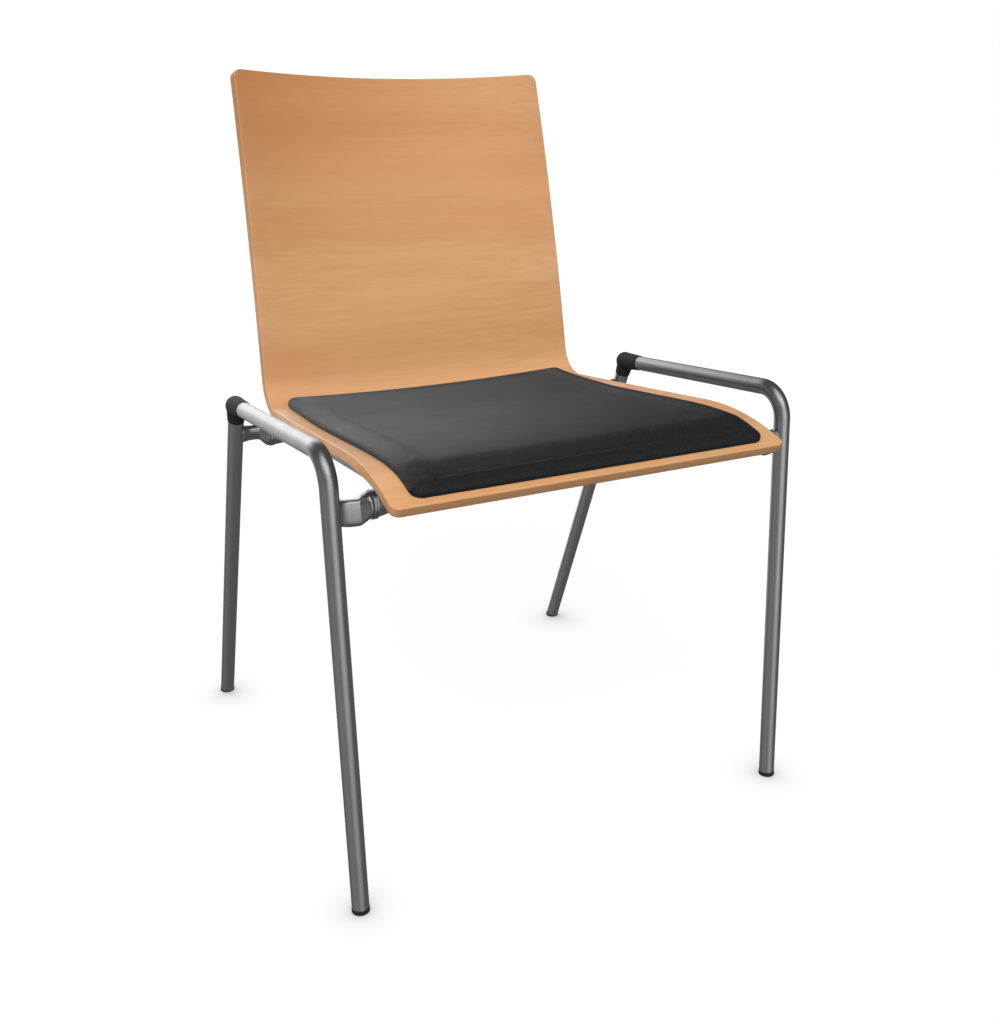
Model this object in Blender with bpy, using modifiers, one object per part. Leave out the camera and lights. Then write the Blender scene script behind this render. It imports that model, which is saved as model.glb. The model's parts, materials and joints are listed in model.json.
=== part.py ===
"""Stacking chair: moulded plywood shell with a seat pad, on two bent steel tube side frames.

Metres, +Z up, the chair faces -Y. The origin is on the floor, under the middle of the chair's bounding box.
"""

import math

import bmesh
import bpy
from mathutils import Matrix, Vector

# Clearance between pieces that touch
GAP = 0.0003

# Steel tube of the side frames and the seat rails
TUBE_DIAMETER = 0.018
TUBE_WALL = 0.002
TUBE_SIDES = 16

# Side frames, measured on the tube axes: out from the shell's front corners and up from its nose
FRAME_OFFSET = 0.0416
FOOT_SPREAD = 0.5432
FRONT_RAKE = math.radians(3.6)
REAR_RAKE = math.radians(22.1)
RAIL_RISE = 0.0440
RAIL_FALL = math.radians(4.5)
FRAME_BEND_RADIUS = 0.034
FRAME_BEND_STEPS = 8

# Foot glides
GLIDE_HEIGHT = 0.0055
GLIDE_RIM = 0.0003
GLIDE_STEM_LENGTH = 0.022
GLIDE_EDGE = 0.0018

# Plastic elbows and their steel cores
ELBOW_RADIUS = 0.0125
ELBOW_OVERHANG = 0.003
ELBOW_RAIL_LENGTH = 0.035
ELBOW_LEG_LENGTH = 0.0210
ELBOW_END_WALL = 0.0008
ELBOW_TUBE_SETBACK = 0.0135
CORE_LENGTH = 0.040

# Plywood shell: side profile from the nose to the top edge, on the sitter's face
SHELL_THICKNESS = 0.011
SHELL_EDGE_RADIUS = 0.0012
SHELL_CORNER_RADIUS = 0.010
SHELL_FRONT_WIDTH = 0.4708
SHELL_TOP_WIDTH = 0.4188
NOSE_OVERHANG = 0.0262
NOSE_HEIGHT = 0.4524
NOSE_ANGLE = math.radians(21.2)
NOSE_STRAIGHT = 0.0064
NOSE_RADIUS = 0.297
SEAT_FALL = math.radians(4.7)
SEAT_STRAIGHT = 0.2726
SEAT_BEND_RADIUS = 0.0374
BACK_LEAN_LOW = math.radians(8.8)
BACK_LEAN_TOP = math.radians(15.1)
BACK_LENGTH = 0.375
SEAT_DISH = 0.010
BACK_DISH = 0.031

# Seat pad, on the sitter's face of the shell
PAD_SIDE_MARGIN = 0.0190
PAD_FRONT_MARGIN = 0.0105
PAD_REAR_MARGIN = 0.028
PAD_CORNER_RADIUS = 0.016
PAD_EDGE_HEIGHT = 0.002
PAD_HEIGHT = 0.010
PAD_CROWN = 0.002
PAD_ROLL_WIDTH = 0.016
PAD_BOARD_THICKNESS = 0.003
PAD_BOARD_INSET = 0.022
PAD_SCREW_X = 0.120
PAD_SCREW_SETBACK = {"front": 0.108, "rear": 0.101}
PAD_SCREW_DIAMETER = 0.004
PAD_SCREW_HEAD_DIAMETER = 0.008
PAD_SCREW_HEAD_HEIGHT = 0.0022

# Arms from the legs, collars and tapered sockets: up from the seat rails and in from the legs
ARM_RISE = 0.0033
ARM_REACH = 0.042
ARM_ROOT_HALF_HEIGHT = {"front": 0.0158, "rear": 0.0122}
ARM_ROOT_RISE = {"front": 0.0022, "rear": -0.0045}
ARM_NECK_HALF_HEIGHT = {"front": 0.0160, "rear": 0.0120}
ARM_NECK_RISE = {"front": -0.0020, "rear": -0.0035}
ARM_NECK_HALF_WIDTH = 0.0062
ARM_END_RADIUS = 0.0148
COLLAR_RISE = {"front": 0.0040, "rear": -0.0085}
COLLAR_WIDTH = 0.0055
COLLAR_RADIUS = 0.0155
COLLAR_GROOVE = 0.0009
SPIGOT_LENGTH = 0.013
SOCKET_RADIUS = 0.0147
SOCKET_LENGTH = 0.026
SOCKET_END_WALL = 0.0008

# Seat rails, in from the collars, cross tubes, and what fastens the shell: setbacks are from the arms
SEAT_RAIL_INSET = 0.040
SEAT_RAIL_DROP = 0.0185
SEAT_RAIL_FALL = math.radians(3.2)
SEAT_RAIL_BEND_RADIUS = 0.022
SEAT_RAIL_BEND_STEPS = 5
CROSS_TUBE_DIAMETER = 0.016
CROSS_TUBE_SETBACK = {"front": 0.1313, "rear": 0.0990}
FIXING_SETBACK = {"front": 0.0764, "rear": 0.0341}
SPACER_LENGTH = 0.026
SPACER_WALL = 0.0028
SPACER_CORNER = 0.003
SCREW_DIAMETER = 0.006
SCREW_HEAD_DIAMETER = 0.011
SCREW_HEAD_HEIGHT = 0.0033
INSERT_DIAMETER = 0.009
INSERT_LENGTH = 0.0075
SMALL_SIDES = 12

TUBE_RADIUS = TUBE_DIAMETER / 2
TUBE_BORE = TUBE_RADIUS - TUBE_WALL
FRAME_X = SHELL_FRONT_WIDTH / 2 + FRAME_OFFSET
COLLAR_X = FRAME_X - ARM_REACH
SEAT_RAIL_X = COLLAR_X - SEAT_RAIL_INSET
RAIL_HEIGHT = NOSE_HEIGHT + RAIL_RISE
SIDES = {"left": -1, "right": 1}
ENDS = ("front", "rear")

FINISHES = {
    "satin_steel": ((0.62, 0.62, 0.63), 0.30, 1.0),
    "cast_metal": ((0.45, 0.45, 0.46), 0.38, 1.0),
    "zinc_steel": ((0.55, 0.55, 0.57), 0.35, 1.0),
    "black_plastic": ((0.02, 0.02, 0.021), 0.50, 0.0),
    "beech_plywood": ((0.58, 0.32, 0.14), 0.42, 0.0),
    "black_leather": ((0.03, 0.03, 0.031), 0.45, 0.0),
    "pad_board": ((0.45, 0.33, 0.20), 0.70, 0.0),
}


# Scene and object helpers


def clear_scene():
    """Remove every object of the scene."""
    for obj in list(bpy.data.objects):
        bpy.data.objects.remove(obj, do_unlink=True)


def new_collection(name):
    """Make a collection in the scene."""
    collection = bpy.data.collections.new(name)
    bpy.context.scene.collection.children.link(collection)
    return collection


def finish_material(name):
    """Principled material of one of the chair's finishes, made once."""
    if name in bpy.data.materials:
        return bpy.data.materials[name]
    color, roughness, metallic = FINISHES[name]
    material = bpy.data.materials.new(name)
    material.use_nodes = True
    shader = material.node_tree.nodes["Principled BSDF"]
    shader.inputs["Base Color"].default_value = (*color, 1.0)
    shader.inputs["Roughness"].default_value = roughness
    shader.inputs["Metallic"].default_value = metallic
    return material


def add_object(name, mesh, finish=None):
    """Put a mesh in the chair, or among its cutters where it has no finish."""
    obj = bpy.data.objects.new(name, mesh)
    obj.parent = ORIGIN
    if finish:
        PARTS.objects.link(obj)
        mesh.materials.append(finish_material(finish))
        mesh.shade_smooth()
        mesh.set_sharp_from_angle(angle=math.radians(35))
    else:
        CUTTERS.objects.link(obj)
        obj.hide_render = True
        obj.display_type = "WIRE"
    return obj


def mesh_from(bm, name):
    """Turn a bmesh into a mesh, with its faces pointing out."""
    bmesh.ops.recalc_face_normals(bm, faces=bm.faces)
    mesh = bpy.data.meshes.new(name)
    bm.to_mesh(mesh)
    bm.free()
    return mesh


def boolean(obj, other, operation="DIFFERENCE"):
    """Cut another object from this one, or join it on."""
    modifier = obj.modifiers.new(f"{operation.lower()} {other.name}", "BOOLEAN")
    modifier.operation = operation
    modifier.object = other


def frame_at(origin, direction):
    """Matrix whose Z axis runs along a direction, from an origin."""
    turn = direction.to_track_quat("Z", "Y").to_matrix().to_4x4()
    return Matrix.Translation(origin) @ turn


# Shape helpers


def rod(name, start, end, radius, end_radius=None, finish=None, sides=TUBE_SIDES):
    """Solid cylinder or cone between two points."""
    bm = bmesh.new()
    bmesh.ops.create_cone(
        bm,
        cap_ends=True,
        segments=sides,
        radius1=radius,
        radius2=radius if end_radius is None else end_radius,
        depth=(end - start).length,
        matrix=frame_at((start + end) / 2, end - start),
    )
    return add_object(name, mesh_from(bm, name), finish)


def ball(name, centre, radius, finish=None):
    """Solid sphere."""
    bm = bmesh.new()
    bmesh.ops.create_uvsphere(
        bm,
        u_segments=TUBE_SIDES,
        v_segments=TUBE_SIDES // 2,
        radius=radius,
        matrix=Matrix.Translation(centre),
    )
    return add_object(name, mesh_from(bm, name), finish)


def turned(name, profile, origin, direction, finish, sides=TUBE_SIDES, ring=False):
    """Solid of revolution from (radius, height) points that run down its outer side."""
    bm = bmesh.new()
    points = [bm.verts.new((radius, 0.0, height)) for radius, height in profile]
    for first, second in zip(points, points[1:] + points[:1] if ring else points[1:]):
        bm.edges.new((first, second))
    mesh = bpy.data.meshes.new(name)
    bm.to_mesh(mesh)
    bm.free()
    obj = add_object(name, mesh, finish)
    obj.matrix_basis = frame_at(origin, direction)
    screw = obj.modifiers.new("turn", "SCREW")
    screw.steps = screw.render_steps = sides
    screw.use_merge_vertices = True
    screw.merge_threshold = 0.0001
    screw.use_smooth_shade = True
    return obj


def filleted(corners, radius, steps):
    """Points along a run of straight lines whose inner corners are rounded by arcs."""
    points = [corners[0]]
    for before, corner, after in zip(corners, corners[1:], corners[2:]):
        back = (before - corner).normalized()
        ahead = (after - corner).normalized()
        half = back.angle(ahead) / 2
        centre = corner + (back + ahead).normalized() * (radius / math.sin(half))
        spoke = corner + back * (radius / math.tan(half)) - centre
        axis = back.cross(ahead).normalized()
        sweep = math.pi - 2 * half
        for step in range(steps + 1):
            points.append(centre + Matrix.Rotation(-sweep * step / steps, 3, axis) @ spoke)
    return points + [corners[-1]]


def sweep_mesh(name, points, radii, capped):
    """Mesh of a round tube along points, with one radius at each point."""
    curve = bpy.data.curves.new(name, "CURVE")
    curve.dimensions = "3D"
    curve.bevel_depth = 1.0
    curve.bevel_resolution = TUBE_SIDES // 2 - 2
    curve.use_fill_caps = capped
    spline = curve.splines.new("POLY")
    spline.points.add(len(points) - 1)
    for target, point, radius in zip(spline.points, points, radii):
        target.co = (*point, 1.0)
        target.radius = radius
    guide = bpy.data.objects.new(name, curve)
    CUTTERS.objects.link(guide)
    evaluated = guide.evaluated_get(bpy.context.evaluated_depsgraph_get())
    mesh = bpy.data.meshes.new_from_object(evaluated)
    bpy.data.objects.remove(guide, do_unlink=True)
    bpy.data.curves.remove(curve)
    mesh.name = name
    bm = bmesh.new()
    bm.from_mesh(mesh)
    bmesh.ops.remove_doubles(bm, verts=bm.verts, dist=1e-6)
    bmesh.ops.recalc_face_normals(bm, faces=bm.faces)
    bm.to_mesh(mesh)
    bm.free()
    mesh.materials.clear()
    return mesh


def tube(name, points, radius, finish):
    """Steel tube along points, open at both ends, with the tube's wall."""
    mesh = sweep_mesh(name, points, [radius] * len(points), capped=False)
    obj = add_object(name, mesh, finish)
    wall = obj.modifiers.new("wall", "SOLIDIFY")
    wall.thickness = TUBE_WALL
    wall.offset = -1.0
    wall.use_even_offset = True
    return obj


def solid_bar(name, points, radius, finish=None):
    """Solid round bar along points."""
    return add_object(name, sweep_mesh(name, points, [radius] * len(points), capped=True), finish)


def loft(name, rings, finish=None):
    """Closed solid through rings of points, with both ends filled."""
    bm = bmesh.new()
    loops = []
    for ring in rings:
        verts = [bm.verts.new(point) for point in ring]
        loops.append([bm.edges.new((verts[i - 1], verts[i])) for i in range(len(verts))])
    for first, second in zip(loops, loops[1:]):
        bmesh.ops.bridge_loops(bm, edges=first + second)
    for end in (loops[0], loops[-1]):
        bmesh.ops.edgeloop_fill(bm, edges=end)
    return add_object(name, mesh_from(bm, name), finish)


# The shell's surface


def profile_stretches():
    """Length and turning angle of each stretch of the shell's side profile."""
    nose_turn = NOSE_ANGLE + SEAT_FALL
    back_turn = math.pi / 2 - BACK_LEAN_LOW + SEAT_FALL
    return (
        (NOSE_STRAIGHT, 0.0),
        (NOSE_RADIUS * nose_turn, -nose_turn),
        (SEAT_STRAIGHT, 0.0),
        (SEAT_BEND_RADIUS * back_turn, back_turn),
        (BACK_LENGTH, BACK_LEAN_LOW - BACK_LEAN_TOP),
    )


STRETCHES = profile_stretches()
BEND_START = sum(length for length, _ in STRETCHES[:3])
BEND_END = BEND_START + STRETCHES[3][0]
SHELL_LENGTH = BEND_END + BACK_LENGTH
PAD_REAR_STATION = BEND_END - PAD_REAR_MARGIN
PAD_SCREW_STATIONS = {
    "front": PAD_FRONT_MARGIN + PAD_SCREW_SETBACK["front"],
    "rear": PAD_REAR_STATION - PAD_SCREW_SETBACK["rear"],
}


def profile_at(station):
    """Point (y, z) and heading of the side profile at a distance from the nose."""
    y = -FOOT_SPREAD / 2 - NOSE_OVERHANG
    z = NOSE_HEIGHT
    heading = NOSE_ANGLE
    for length, turn in STRETCHES:
        run = min(station, length)
        if turn:
            bend = turn / length
            y += (math.sin(heading + bend * run) - math.sin(heading)) / bend
            z -= (math.cos(heading + bend * run) - math.cos(heading)) / bend
            heading += bend * run
        else:
            y += math.cos(heading) * run
            z += math.sin(heading) * run
        station -= run
        if station <= 0:
            break
    return y, z, heading


def half_width(station):
    """Half the shell's width, without its rounded corners."""
    share = station / SHELL_LENGTH
    return (SHELL_FRONT_WIDTH * (1 - share) + SHELL_TOP_WIDTH * share) / 2


def dish(station, x):
    """Depth by which the shell is hollowed, away from the sitter."""
    if station < BEND_END:
        depth = SEAT_DISH * max(station, 0.0) / BEND_END
    else:
        depth = SEAT_DISH + (BACK_DISH - SEAT_DISH) * (station - BEND_END) / BACK_LENGTH
    return depth * (1 - (x / half_width(station)) ** 2)


def profile_normal(station):
    """Direction from the shell towards the sitter."""
    heading = profile_at(station)[2]
    return Vector((0.0, -math.sin(heading), math.cos(heading)))


def profile_point(station, x, height):
    """Point at a height over the undished profile."""
    y, z, _ = profile_at(station)
    return Vector((x, y, z)) + profile_normal(station) * height


def shell_point(station, x, height):
    """Point at a height over the sitter's face of the shell."""
    return profile_point(station, x, height - dish(station, x))


def corner_cut(distance, radius):
    """How far a rounded corner draws in the outline at a distance from its end."""
    short = max(radius - distance, 0.0)
    return radius - math.sqrt(max(radius**2 - short**2, 0.0))


def spread(start, end, count):
    """Evenly spaced values, both ends included."""
    return [start + (end - start) * step / count for step in range(count + 1)]


def patch_points(rows, columns, height):
    """Grid of points over the shell: height is a function of station and x."""
    return [
        [shell_point(station, x, height(station, x)) for x in columns(station)]
        for station in rows
    ]


def grid_faces(bm, points):
    """Open surface through a grid of points; returns its boundary edges."""
    across, along = len(points[0]), len(points)
    made = bmesh.ops.create_grid(bm, x_segments=across - 1, y_segments=along - 1, size=1.0)
    ordered = sorted(made["verts"], key=lambda vert: (round(vert.co.y, 6), round(vert.co.x, 6)))
    edges = {edge for vert in made["verts"] for edge in vert.link_edges if edge.is_boundary}
    for vert, point in zip(ordered, (point for row in points for point in row)):
        vert.co = point
    return list(edges)


def patch_solid(name, rows, columns, low, high, finish=None):
    """Closed solid between two heights over the shell."""
    bm = bmesh.new()
    rims = [grid_faces(bm, patch_points(rows, columns, height)) for height in (low, high)]
    bmesh.ops.bridge_loops(bm, edges=rims[0] + rims[1])
    return add_object(name, mesh_from(bm, name), finish)


# Places that several pieces share


def place(side, y, z, x=FRAME_X):
    """Point on one side of the chair."""
    return Vector((SIDES[side] * x, y, z))


def leg_foot(side, end):
    """Where a leg's axis meets the floor."""
    return place(side, FOOT_SPREAD / 2 * (-1 if end == "front" else 1), 0.0)


def leg_direction(end):
    """Direction up a leg."""
    rake = FRONT_RAKE if end == "front" else -REAR_RAKE
    return Vector((0.0, math.sin(rake), math.cos(rake)))


def leg_point(side, end, z):
    """Point of a leg's axis at a height over the floor."""
    up = leg_direction(end)
    return leg_foot(side, end) + up * (z / up.z)


def frame_corner(side):
    """Where the axes of the front leg and the side rail cross."""
    return leg_point(side, "front", RAIL_HEIGHT)


def elbow_corner(side):
    """Where the axes of the side rail and the rear leg cross."""
    start = frame_corner(side)
    foot = leg_foot(side, "rear")
    up = leg_direction("rear")
    fall = math.tan(RAIL_FALL)
    z = (start.z - fall * (foot.y - start.y)) / (1 + fall * up.y / up.z)
    return leg_point(side, "rear", z)


SEAT_RAIL_MIDDLE = profile_point(BEND_START - SEAT_STRAIGHT / 2, 0.0, -SHELL_THICKNESS - SEAT_RAIL_DROP)
ARM_HEIGHT = SEAT_RAIL_MIDDLE.z + ARM_RISE


def seat_rail_corner(side, end):
    """Where the seat rail's straight run would meet its outward end."""
    y = leg_point(side, end, ARM_HEIGHT).y
    z = SEAT_RAIL_MIDDLE.z - math.tan(SEAT_RAIL_FALL) * (y - SEAT_RAIL_MIDDLE.y)
    return place(side, y, z, SEAT_RAIL_X)


def station_from_arm(end, setback):
    """Station of the seat at a distance from the front or the rear arms, towards the middle."""
    y = leg_point("left", end, ARM_HEIGHT).y + (setback if end == "front" else -setback)
    start = BEND_START - SEAT_STRAIGHT
    return start + (y - profile_at(start)[0]) / math.cos(SEAT_FALL)


def collar_centre(side, end):
    """Middle of a collar."""
    leg = leg_point(side, end, ARM_HEIGHT)
    return place(side, leg.y, ARM_HEIGHT + COLLAR_RISE[end], COLLAR_X)


def seat_rail_path(side):
    """Axis of a seat rail, from the front collar to the rear collar."""
    front, rear = (collar_centre(side, end) for end in ENDS)
    corners = [front, seat_rail_corner(side, "front"), seat_rail_corner(side, "rear"), rear]
    tilt = max(abs(corners[i].z - corners[i + 1].z) / (corners[i] - corners[i + 1]).length for i in (0, 2))
    inset = COLLAR_WIDTH / 2 + GAP + TUBE_RADIUS * tilt + GAP
    corners[0] = corners[0].lerp(corners[1], inset / (corners[1] - corners[0]).length)
    corners[3] = corners[3].lerp(corners[2], inset / (corners[2] - corners[3]).length)
    return filleted(corners, SEAT_RAIL_BEND_RADIUS, SEAT_RAIL_BEND_STEPS)


def under_seat(station, x):
    """Point at the level of the seat rails' axes straight under the seat, and its depth under the shell."""
    base, up = profile_point(station, x, -SHELL_THICKNESS), profile_normal(station)
    fall = math.tan(SEAT_RAIL_FALL)
    level_z = SEAT_RAIL_MIDDLE.z - fall * (base.y - SEAT_RAIL_MIDDLE.y)
    depth = (base.z - level_z) / (up.z + fall * up.y)
    return base - up * depth, depth


def fixing_axis(side, end):
    """Point of the seat rail's axis under a fixing, the direction up through the shell, and the depth."""
    station = station_from_arm(end, FIXING_SETBACK[end])
    axis, depth = under_seat(station, SIDES[side] * SEAT_RAIL_X)
    return axis, profile_normal(station), depth


# Side frames, rear legs and glides


def build_side_frames():
    """Front leg and side rail in one bent tube, and the straight rear leg."""
    for side in SIDES:
        corner, elbow = frame_corner(side), elbow_corner(side)
        foot = leg_foot(side, "front") + leg_direction("front") * GLIDE_HEIGHT
        rail_end = elbow + (corner - elbow).normalized() * ELBOW_TUBE_SETBACK
        path = filleted([foot, corner, rail_end], FRAME_BEND_RADIUS, FRAME_BEND_STEPS)
        tube(f"side_frame_{side}", path, TUBE_RADIUS, "satin_steel")
        up = leg_direction("rear")
        foot = leg_foot(side, "rear") + up * GLIDE_HEIGHT
        tube(f"rear_leg_{side}", [foot, elbow - up * ELBOW_TUBE_SETBACK], TUBE_RADIUS, "satin_steel")


def build_glides():
    """Glide in each tube end, cut level with the floor."""
    head = TUBE_RADIUS + GLIDE_RIM
    stem = TUBE_BORE - GAP
    below = head * math.tan(max(FRONT_RAKE, REAR_RAKE))
    floor = rod("floor_cutter", Vector((0, 0, -4 * below)), Vector((0, 0, 0)), 2 * FRAME_X + FOOT_SPREAD)
    for side in SIDES:
        for end in ENDS:
            top = GLIDE_HEIGHT - GAP
            profile = [(0.0, top + GLIDE_STEM_LENGTH), (stem, top + GLIDE_STEM_LENGTH), (stem, top)]
            profile += [(head, top), (head, GLIDE_EDGE), (head - GLIDE_EDGE / 2, 0.0)]
            profile += [(head - GLIDE_EDGE, -below), (0.0, -below)]
            glide = turned(
                f"glide_{end}_{side}", profile, leg_foot(side, end), leg_direction(end), "black_plastic"
            )
            boolean(glide, floor)


def build_elbows():
    """Plastic elbow over the tube ends, and the steel core that joins them."""
    bore = TUBE_RADIUS + GAP
    core = TUBE_BORE - GAP
    for side in SIDES:
        corner = elbow_corner(side)
        ways = {
            "rail": ((frame_corner(side) - corner).normalized(), ELBOW_RAIL_LENGTH),
            "leg": (-leg_direction("rear"), ELBOW_LEG_LENGTH),
        }
        back = -ways["rail"][0] * ELBOW_OVERHANG
        elbow = ball(f"elbow_{side}", corner + back, ELBOW_RADIUS, "black_plastic")
        bores = []
        for name, (way, length) in ways.items():
            tip = corner + way * length
            start = ELBOW_RADIUS - ELBOW_END_WALL
            sleeve = rod(f"elbow_{name}_sleeve_{side}", corner, tip, start, bore + ELBOW_END_WALL)
            boolean(elbow, sleeve, "UNION")
            seat = corner + way * (ELBOW_TUBE_SETBACK - GAP)
            bores.append(rod(f"elbow_{name}_bore_{side}", seat, tip + way * length, bore))
        rail, leg = (way for way, _ in ways.values())
        path = [corner + rail * CORE_LENGTH, corner, corner + leg * CORE_LENGTH]
        solid_bar(f"elbow_core_{side}", path, core, "zinc_steel")
        bores.append(solid_bar(f"core_cutter_{side}", path, core + GAP))
        for cutter in bores:
            boolean(elbow, cutter)


# Arms, collars, sockets and seat rails


def arm_ring(side, end, reach, rise, half_width_y, half_height):
    """Ring of points around an arm, square to the chair's width, at a reach from the leg's axis."""
    leg = leg_point(side, end, ARM_HEIGHT)
    centre = leg + Vector((-SIDES[side] * reach, 0.0, rise))
    turns = spread(0.0, math.tau, TUBE_SIDES)[:-1]
    return [centre + Vector((0.0, half_width_y * math.cos(a), half_height * math.sin(a))) for a in turns]


def build_arm(side, end):
    """Cast arm: saddle on the leg, narrow neck, round end and a spigot for the seat rail."""
    name = f"arm_{end}_{side}"
    reach = FRAME_X - COLLAR_X - COLLAR_WIDTH / 2 - GAP
    root = (ARM_ROOT_RISE[end], TUBE_RADIUS, ARM_ROOT_HALF_HEIGHT[end])
    neck = (ARM_NECK_RISE[end], ARM_NECK_HALF_WIDTH, ARM_NECK_HALF_HEIGHT[end])
    tip = (COLLAR_RISE[end], ARM_END_RADIUS, ARM_END_RADIUS)
    blends = [
        (0.10, root, neck, 0.0),
        (0.26, root, neck, 0.0),
        (0.38, root, neck, 0.5),
        (0.58, root, neck, 1.0),
        (0.74, neck, tip, 0.15),
        (0.87, neck, tip, 0.7),
        (0.96, neck, tip, 1.0),
        (1.00, neck, tip, 1.0),
    ]
    rings = []
    for share, first, second, mix in blends:
        rings.append((share, *(a + (b - a) * mix for a, b in zip(first, second))))
    arm = loft(name, [arm_ring(side, end, reach * share, *ring) for share, *ring in rings], "cast_metal")
    centre = collar_centre(side, end)
    inward = (seat_rail_corner(side, end) - centre).normalized()
    spigot = rod(
        f"spigot_{end}_{side}",
        centre - inward * COLLAR_WIDTH,
        centre + inward * (SPIGOT_LENGTH - COLLAR_WIDTH / 2),
        TUBE_BORE - 2 * GAP,
    )
    boolean(arm, spigot, "UNION")
    up = leg_direction(end)
    leg = leg_point(side, end, ARM_HEIGHT)
    long = up * 4 * ARM_ROOT_HALF_HEIGHT[end]
    boolean(arm, rod(f"saddle_cutter_{end}_{side}", leg - long, leg + long, TUBE_RADIUS + GAP))


def build_collar(side, end):
    """Ring between an arm and its socket, with a groove round its middle."""
    inward = Vector((-SIDES[side], 0.0, 0.0))
    half = COLLAR_WIDTH / 2
    groove = COLLAR_WIDTH / 10
    bore = TUBE_BORE + 3 * GAP
    shallow = COLLAR_RADIUS - COLLAR_GROOVE
    profile = [
        (bore, half),
        (shallow, half),
        (COLLAR_RADIUS, half - groove),
        (COLLAR_RADIUS, groove),
        (shallow, groove / 2),
        (shallow, -groove / 2),
        (COLLAR_RADIUS, -groove),
        (COLLAR_RADIUS, groove - half),
        (shallow, -half),
        (bore, -half),
    ]
    turned(f"collar_{end}_{side}", profile, collar_centre(side, end), inward, "cast_metal", ring=True)


def path_from(points, length):
    """The first points of a path, up to a length along it."""
    kept = [points[0]]
    for first, second in zip(points, points[1:]):
        step = (second - first).length
        if step >= length:
            return kept + [first.lerp(second, length / step)]
        kept.append(second)
        length -= step
    return kept


def build_socket(side, end, path):
    """Tapered sleeve on the end of a seat rail, flush with the collar."""
    name = f"socket_{end}_{side}"
    points = path if end == "front" else path[::-1]
    outward = (points[0] - points[1]).normalized()
    run = path_from(points, SOCKET_LENGTH)
    run = [points[0] + outward * COLLAR_WIDTH] + run
    small = TUBE_RADIUS + GAP + SOCKET_END_WALL
    radii = [SOCKET_RADIUS]
    along = 0.0
    for first, second in zip(run[1:], run[2:]):
        radii.append(SOCKET_RADIUS + (small - SOCKET_RADIUS) * along / SOCKET_LENGTH)
        along += (second - first).length
    radii.append(small)
    mesh = sweep_mesh(name, run, radii, capped=True)
    bm = bmesh.new()
    bm.from_mesh(mesh)
    face = Vector((SIDES[side] * (COLLAR_X - COLLAR_WIDTH / 2 - GAP), 0.0, 0.0))
    everything = bm.verts[:] + bm.edges[:] + bm.faces[:]
    bmesh.ops.bisect_plane(
        bm, geom=everything, dist=1e-7, plane_co=face, plane_no=(SIDES[side], 0.0, 0.0), clear_outer=True
    )
    bmesh.ops.holes_fill(bm, edges=[edge for edge in bm.edges if edge.is_boundary], sides=0)
    bmesh.ops.recalc_face_normals(bm, faces=bm.faces)
    bm.to_mesh(mesh)
    bm.free()
    socket = add_object(name, mesh, "cast_metal")
    longer = [points[0] + outward * 2 * COLLAR_WIDTH] + path_from(points, SOCKET_LENGTH + COLLAR_WIDTH)
    boolean(socket, solid_bar(f"{name}_bore", longer, TUBE_RADIUS + GAP))


def build_seat_rails():
    """Bent tube under each side of the seat, drilled for the shell's screws."""
    for side in SIDES:
        path = seat_rail_path(side)
        rail = tube(f"seat_rail_{side}", path, TUBE_RADIUS, "satin_steel")
        for end in ENDS:
            build_arm(side, end)
            build_collar(side, end)
            build_socket(side, end, path)
            axis, up, _ = fixing_axis(side, end)
            reach = up * 2 * TUBE_DIAMETER
            hole = rod(
                f"rail_hole_{end}_{side}",
                axis - reach,
                axis + reach,
                SCREW_DIAMETER / 2 + GAP,
                sides=SMALL_SIDES,
            )
            boolean(rail, hole)


def build_cross_tubes():
    """Two tubes that tie the seat rails together, shaped at their ends to fit round them."""
    rails = []
    for side in SIDES:
        front, rear = (seat_rail_corner(side, end) for end in ENDS)
        rails.append(rod(f"cope_cutter_{side}", front, rear, TUBE_RADIUS + GAP))
    for end in ENDS:
        station = station_from_arm(end, CROSS_TUBE_SETBACK[end])
        reach = SEAT_RAIL_X - TUBE_RADIUS / 4
        ends = [under_seat(station, sign * reach)[0] for sign in (-1, 1)]
        cross = tube(f"cross_tube_{end}", ends, CROSS_TUBE_DIAMETER / 2, "satin_steel")
        for rail in rails:
            boolean(cross, rail)


# Shell, its fixings, and the pad


def shell_rows():
    """Stations of the shell's rows of points, closer together where it bends."""
    radius = SHELL_CORNER_RADIUS
    corner = [radius * (1 - math.cos(turn)) for turn in spread(0.0, math.pi / 2, 3)]
    starts = [radius, BEND_START - SEAT_STRAIGHT, BEND_START, BEND_END, SHELL_LENGTH - radius]
    rows = list(corner)
    for start, end, count in zip(starts, starts[1:], (7, 5, 8, 7)):
        rows += spread(start, end, count)[1:]
    return rows + [SHELL_LENGTH - distance for distance in corner[-2::-1]]


def shell_columns(station):
    """Places across the shell at a station."""
    cut = corner_cut(min(station, SHELL_LENGTH - station), SHELL_CORNER_RADIUS)
    half = half_width(station) - cut
    return spread(-half, half, 12)


def pad_half_width(station):
    """Half the pad's width, without its rounded corners."""
    return half_width(station) - PAD_SIDE_MARGIN


def pad_rows(inset, edge_steps):
    """Stations of a pad's rows of points: closer together at its ends, and on the shell's rows between."""
    start, end = PAD_FRONT_MARGIN + inset, PAD_REAR_STATION - inset
    clear = 1.2 * edge_steps[-1]
    inner = [station for station in shell_rows() if start + clear < station < end - clear]
    return [start + step for step in edge_steps] + inner + [end - step for step in edge_steps[::-1]]


def pad_columns(inset, edge_steps, count):
    """Places across a pad, as a function of station, for an outline set in from the pad's edge."""
    radius = max(PAD_CORNER_RADIUS - inset, PAD_CORNER_RADIUS / 4)

    def columns(station):
        ends = min(station - PAD_FRONT_MARGIN, PAD_REAR_STATION - station) - inset
        half = pad_half_width(station) - inset - corner_cut(ends, radius)
        inner = spread(edge_steps[-1] - half, half - edge_steps[-1], count)[1:-1]
        return [step - half for step in edge_steps] + inner + [half - step for step in edge_steps[::-1]]

    return columns


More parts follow.
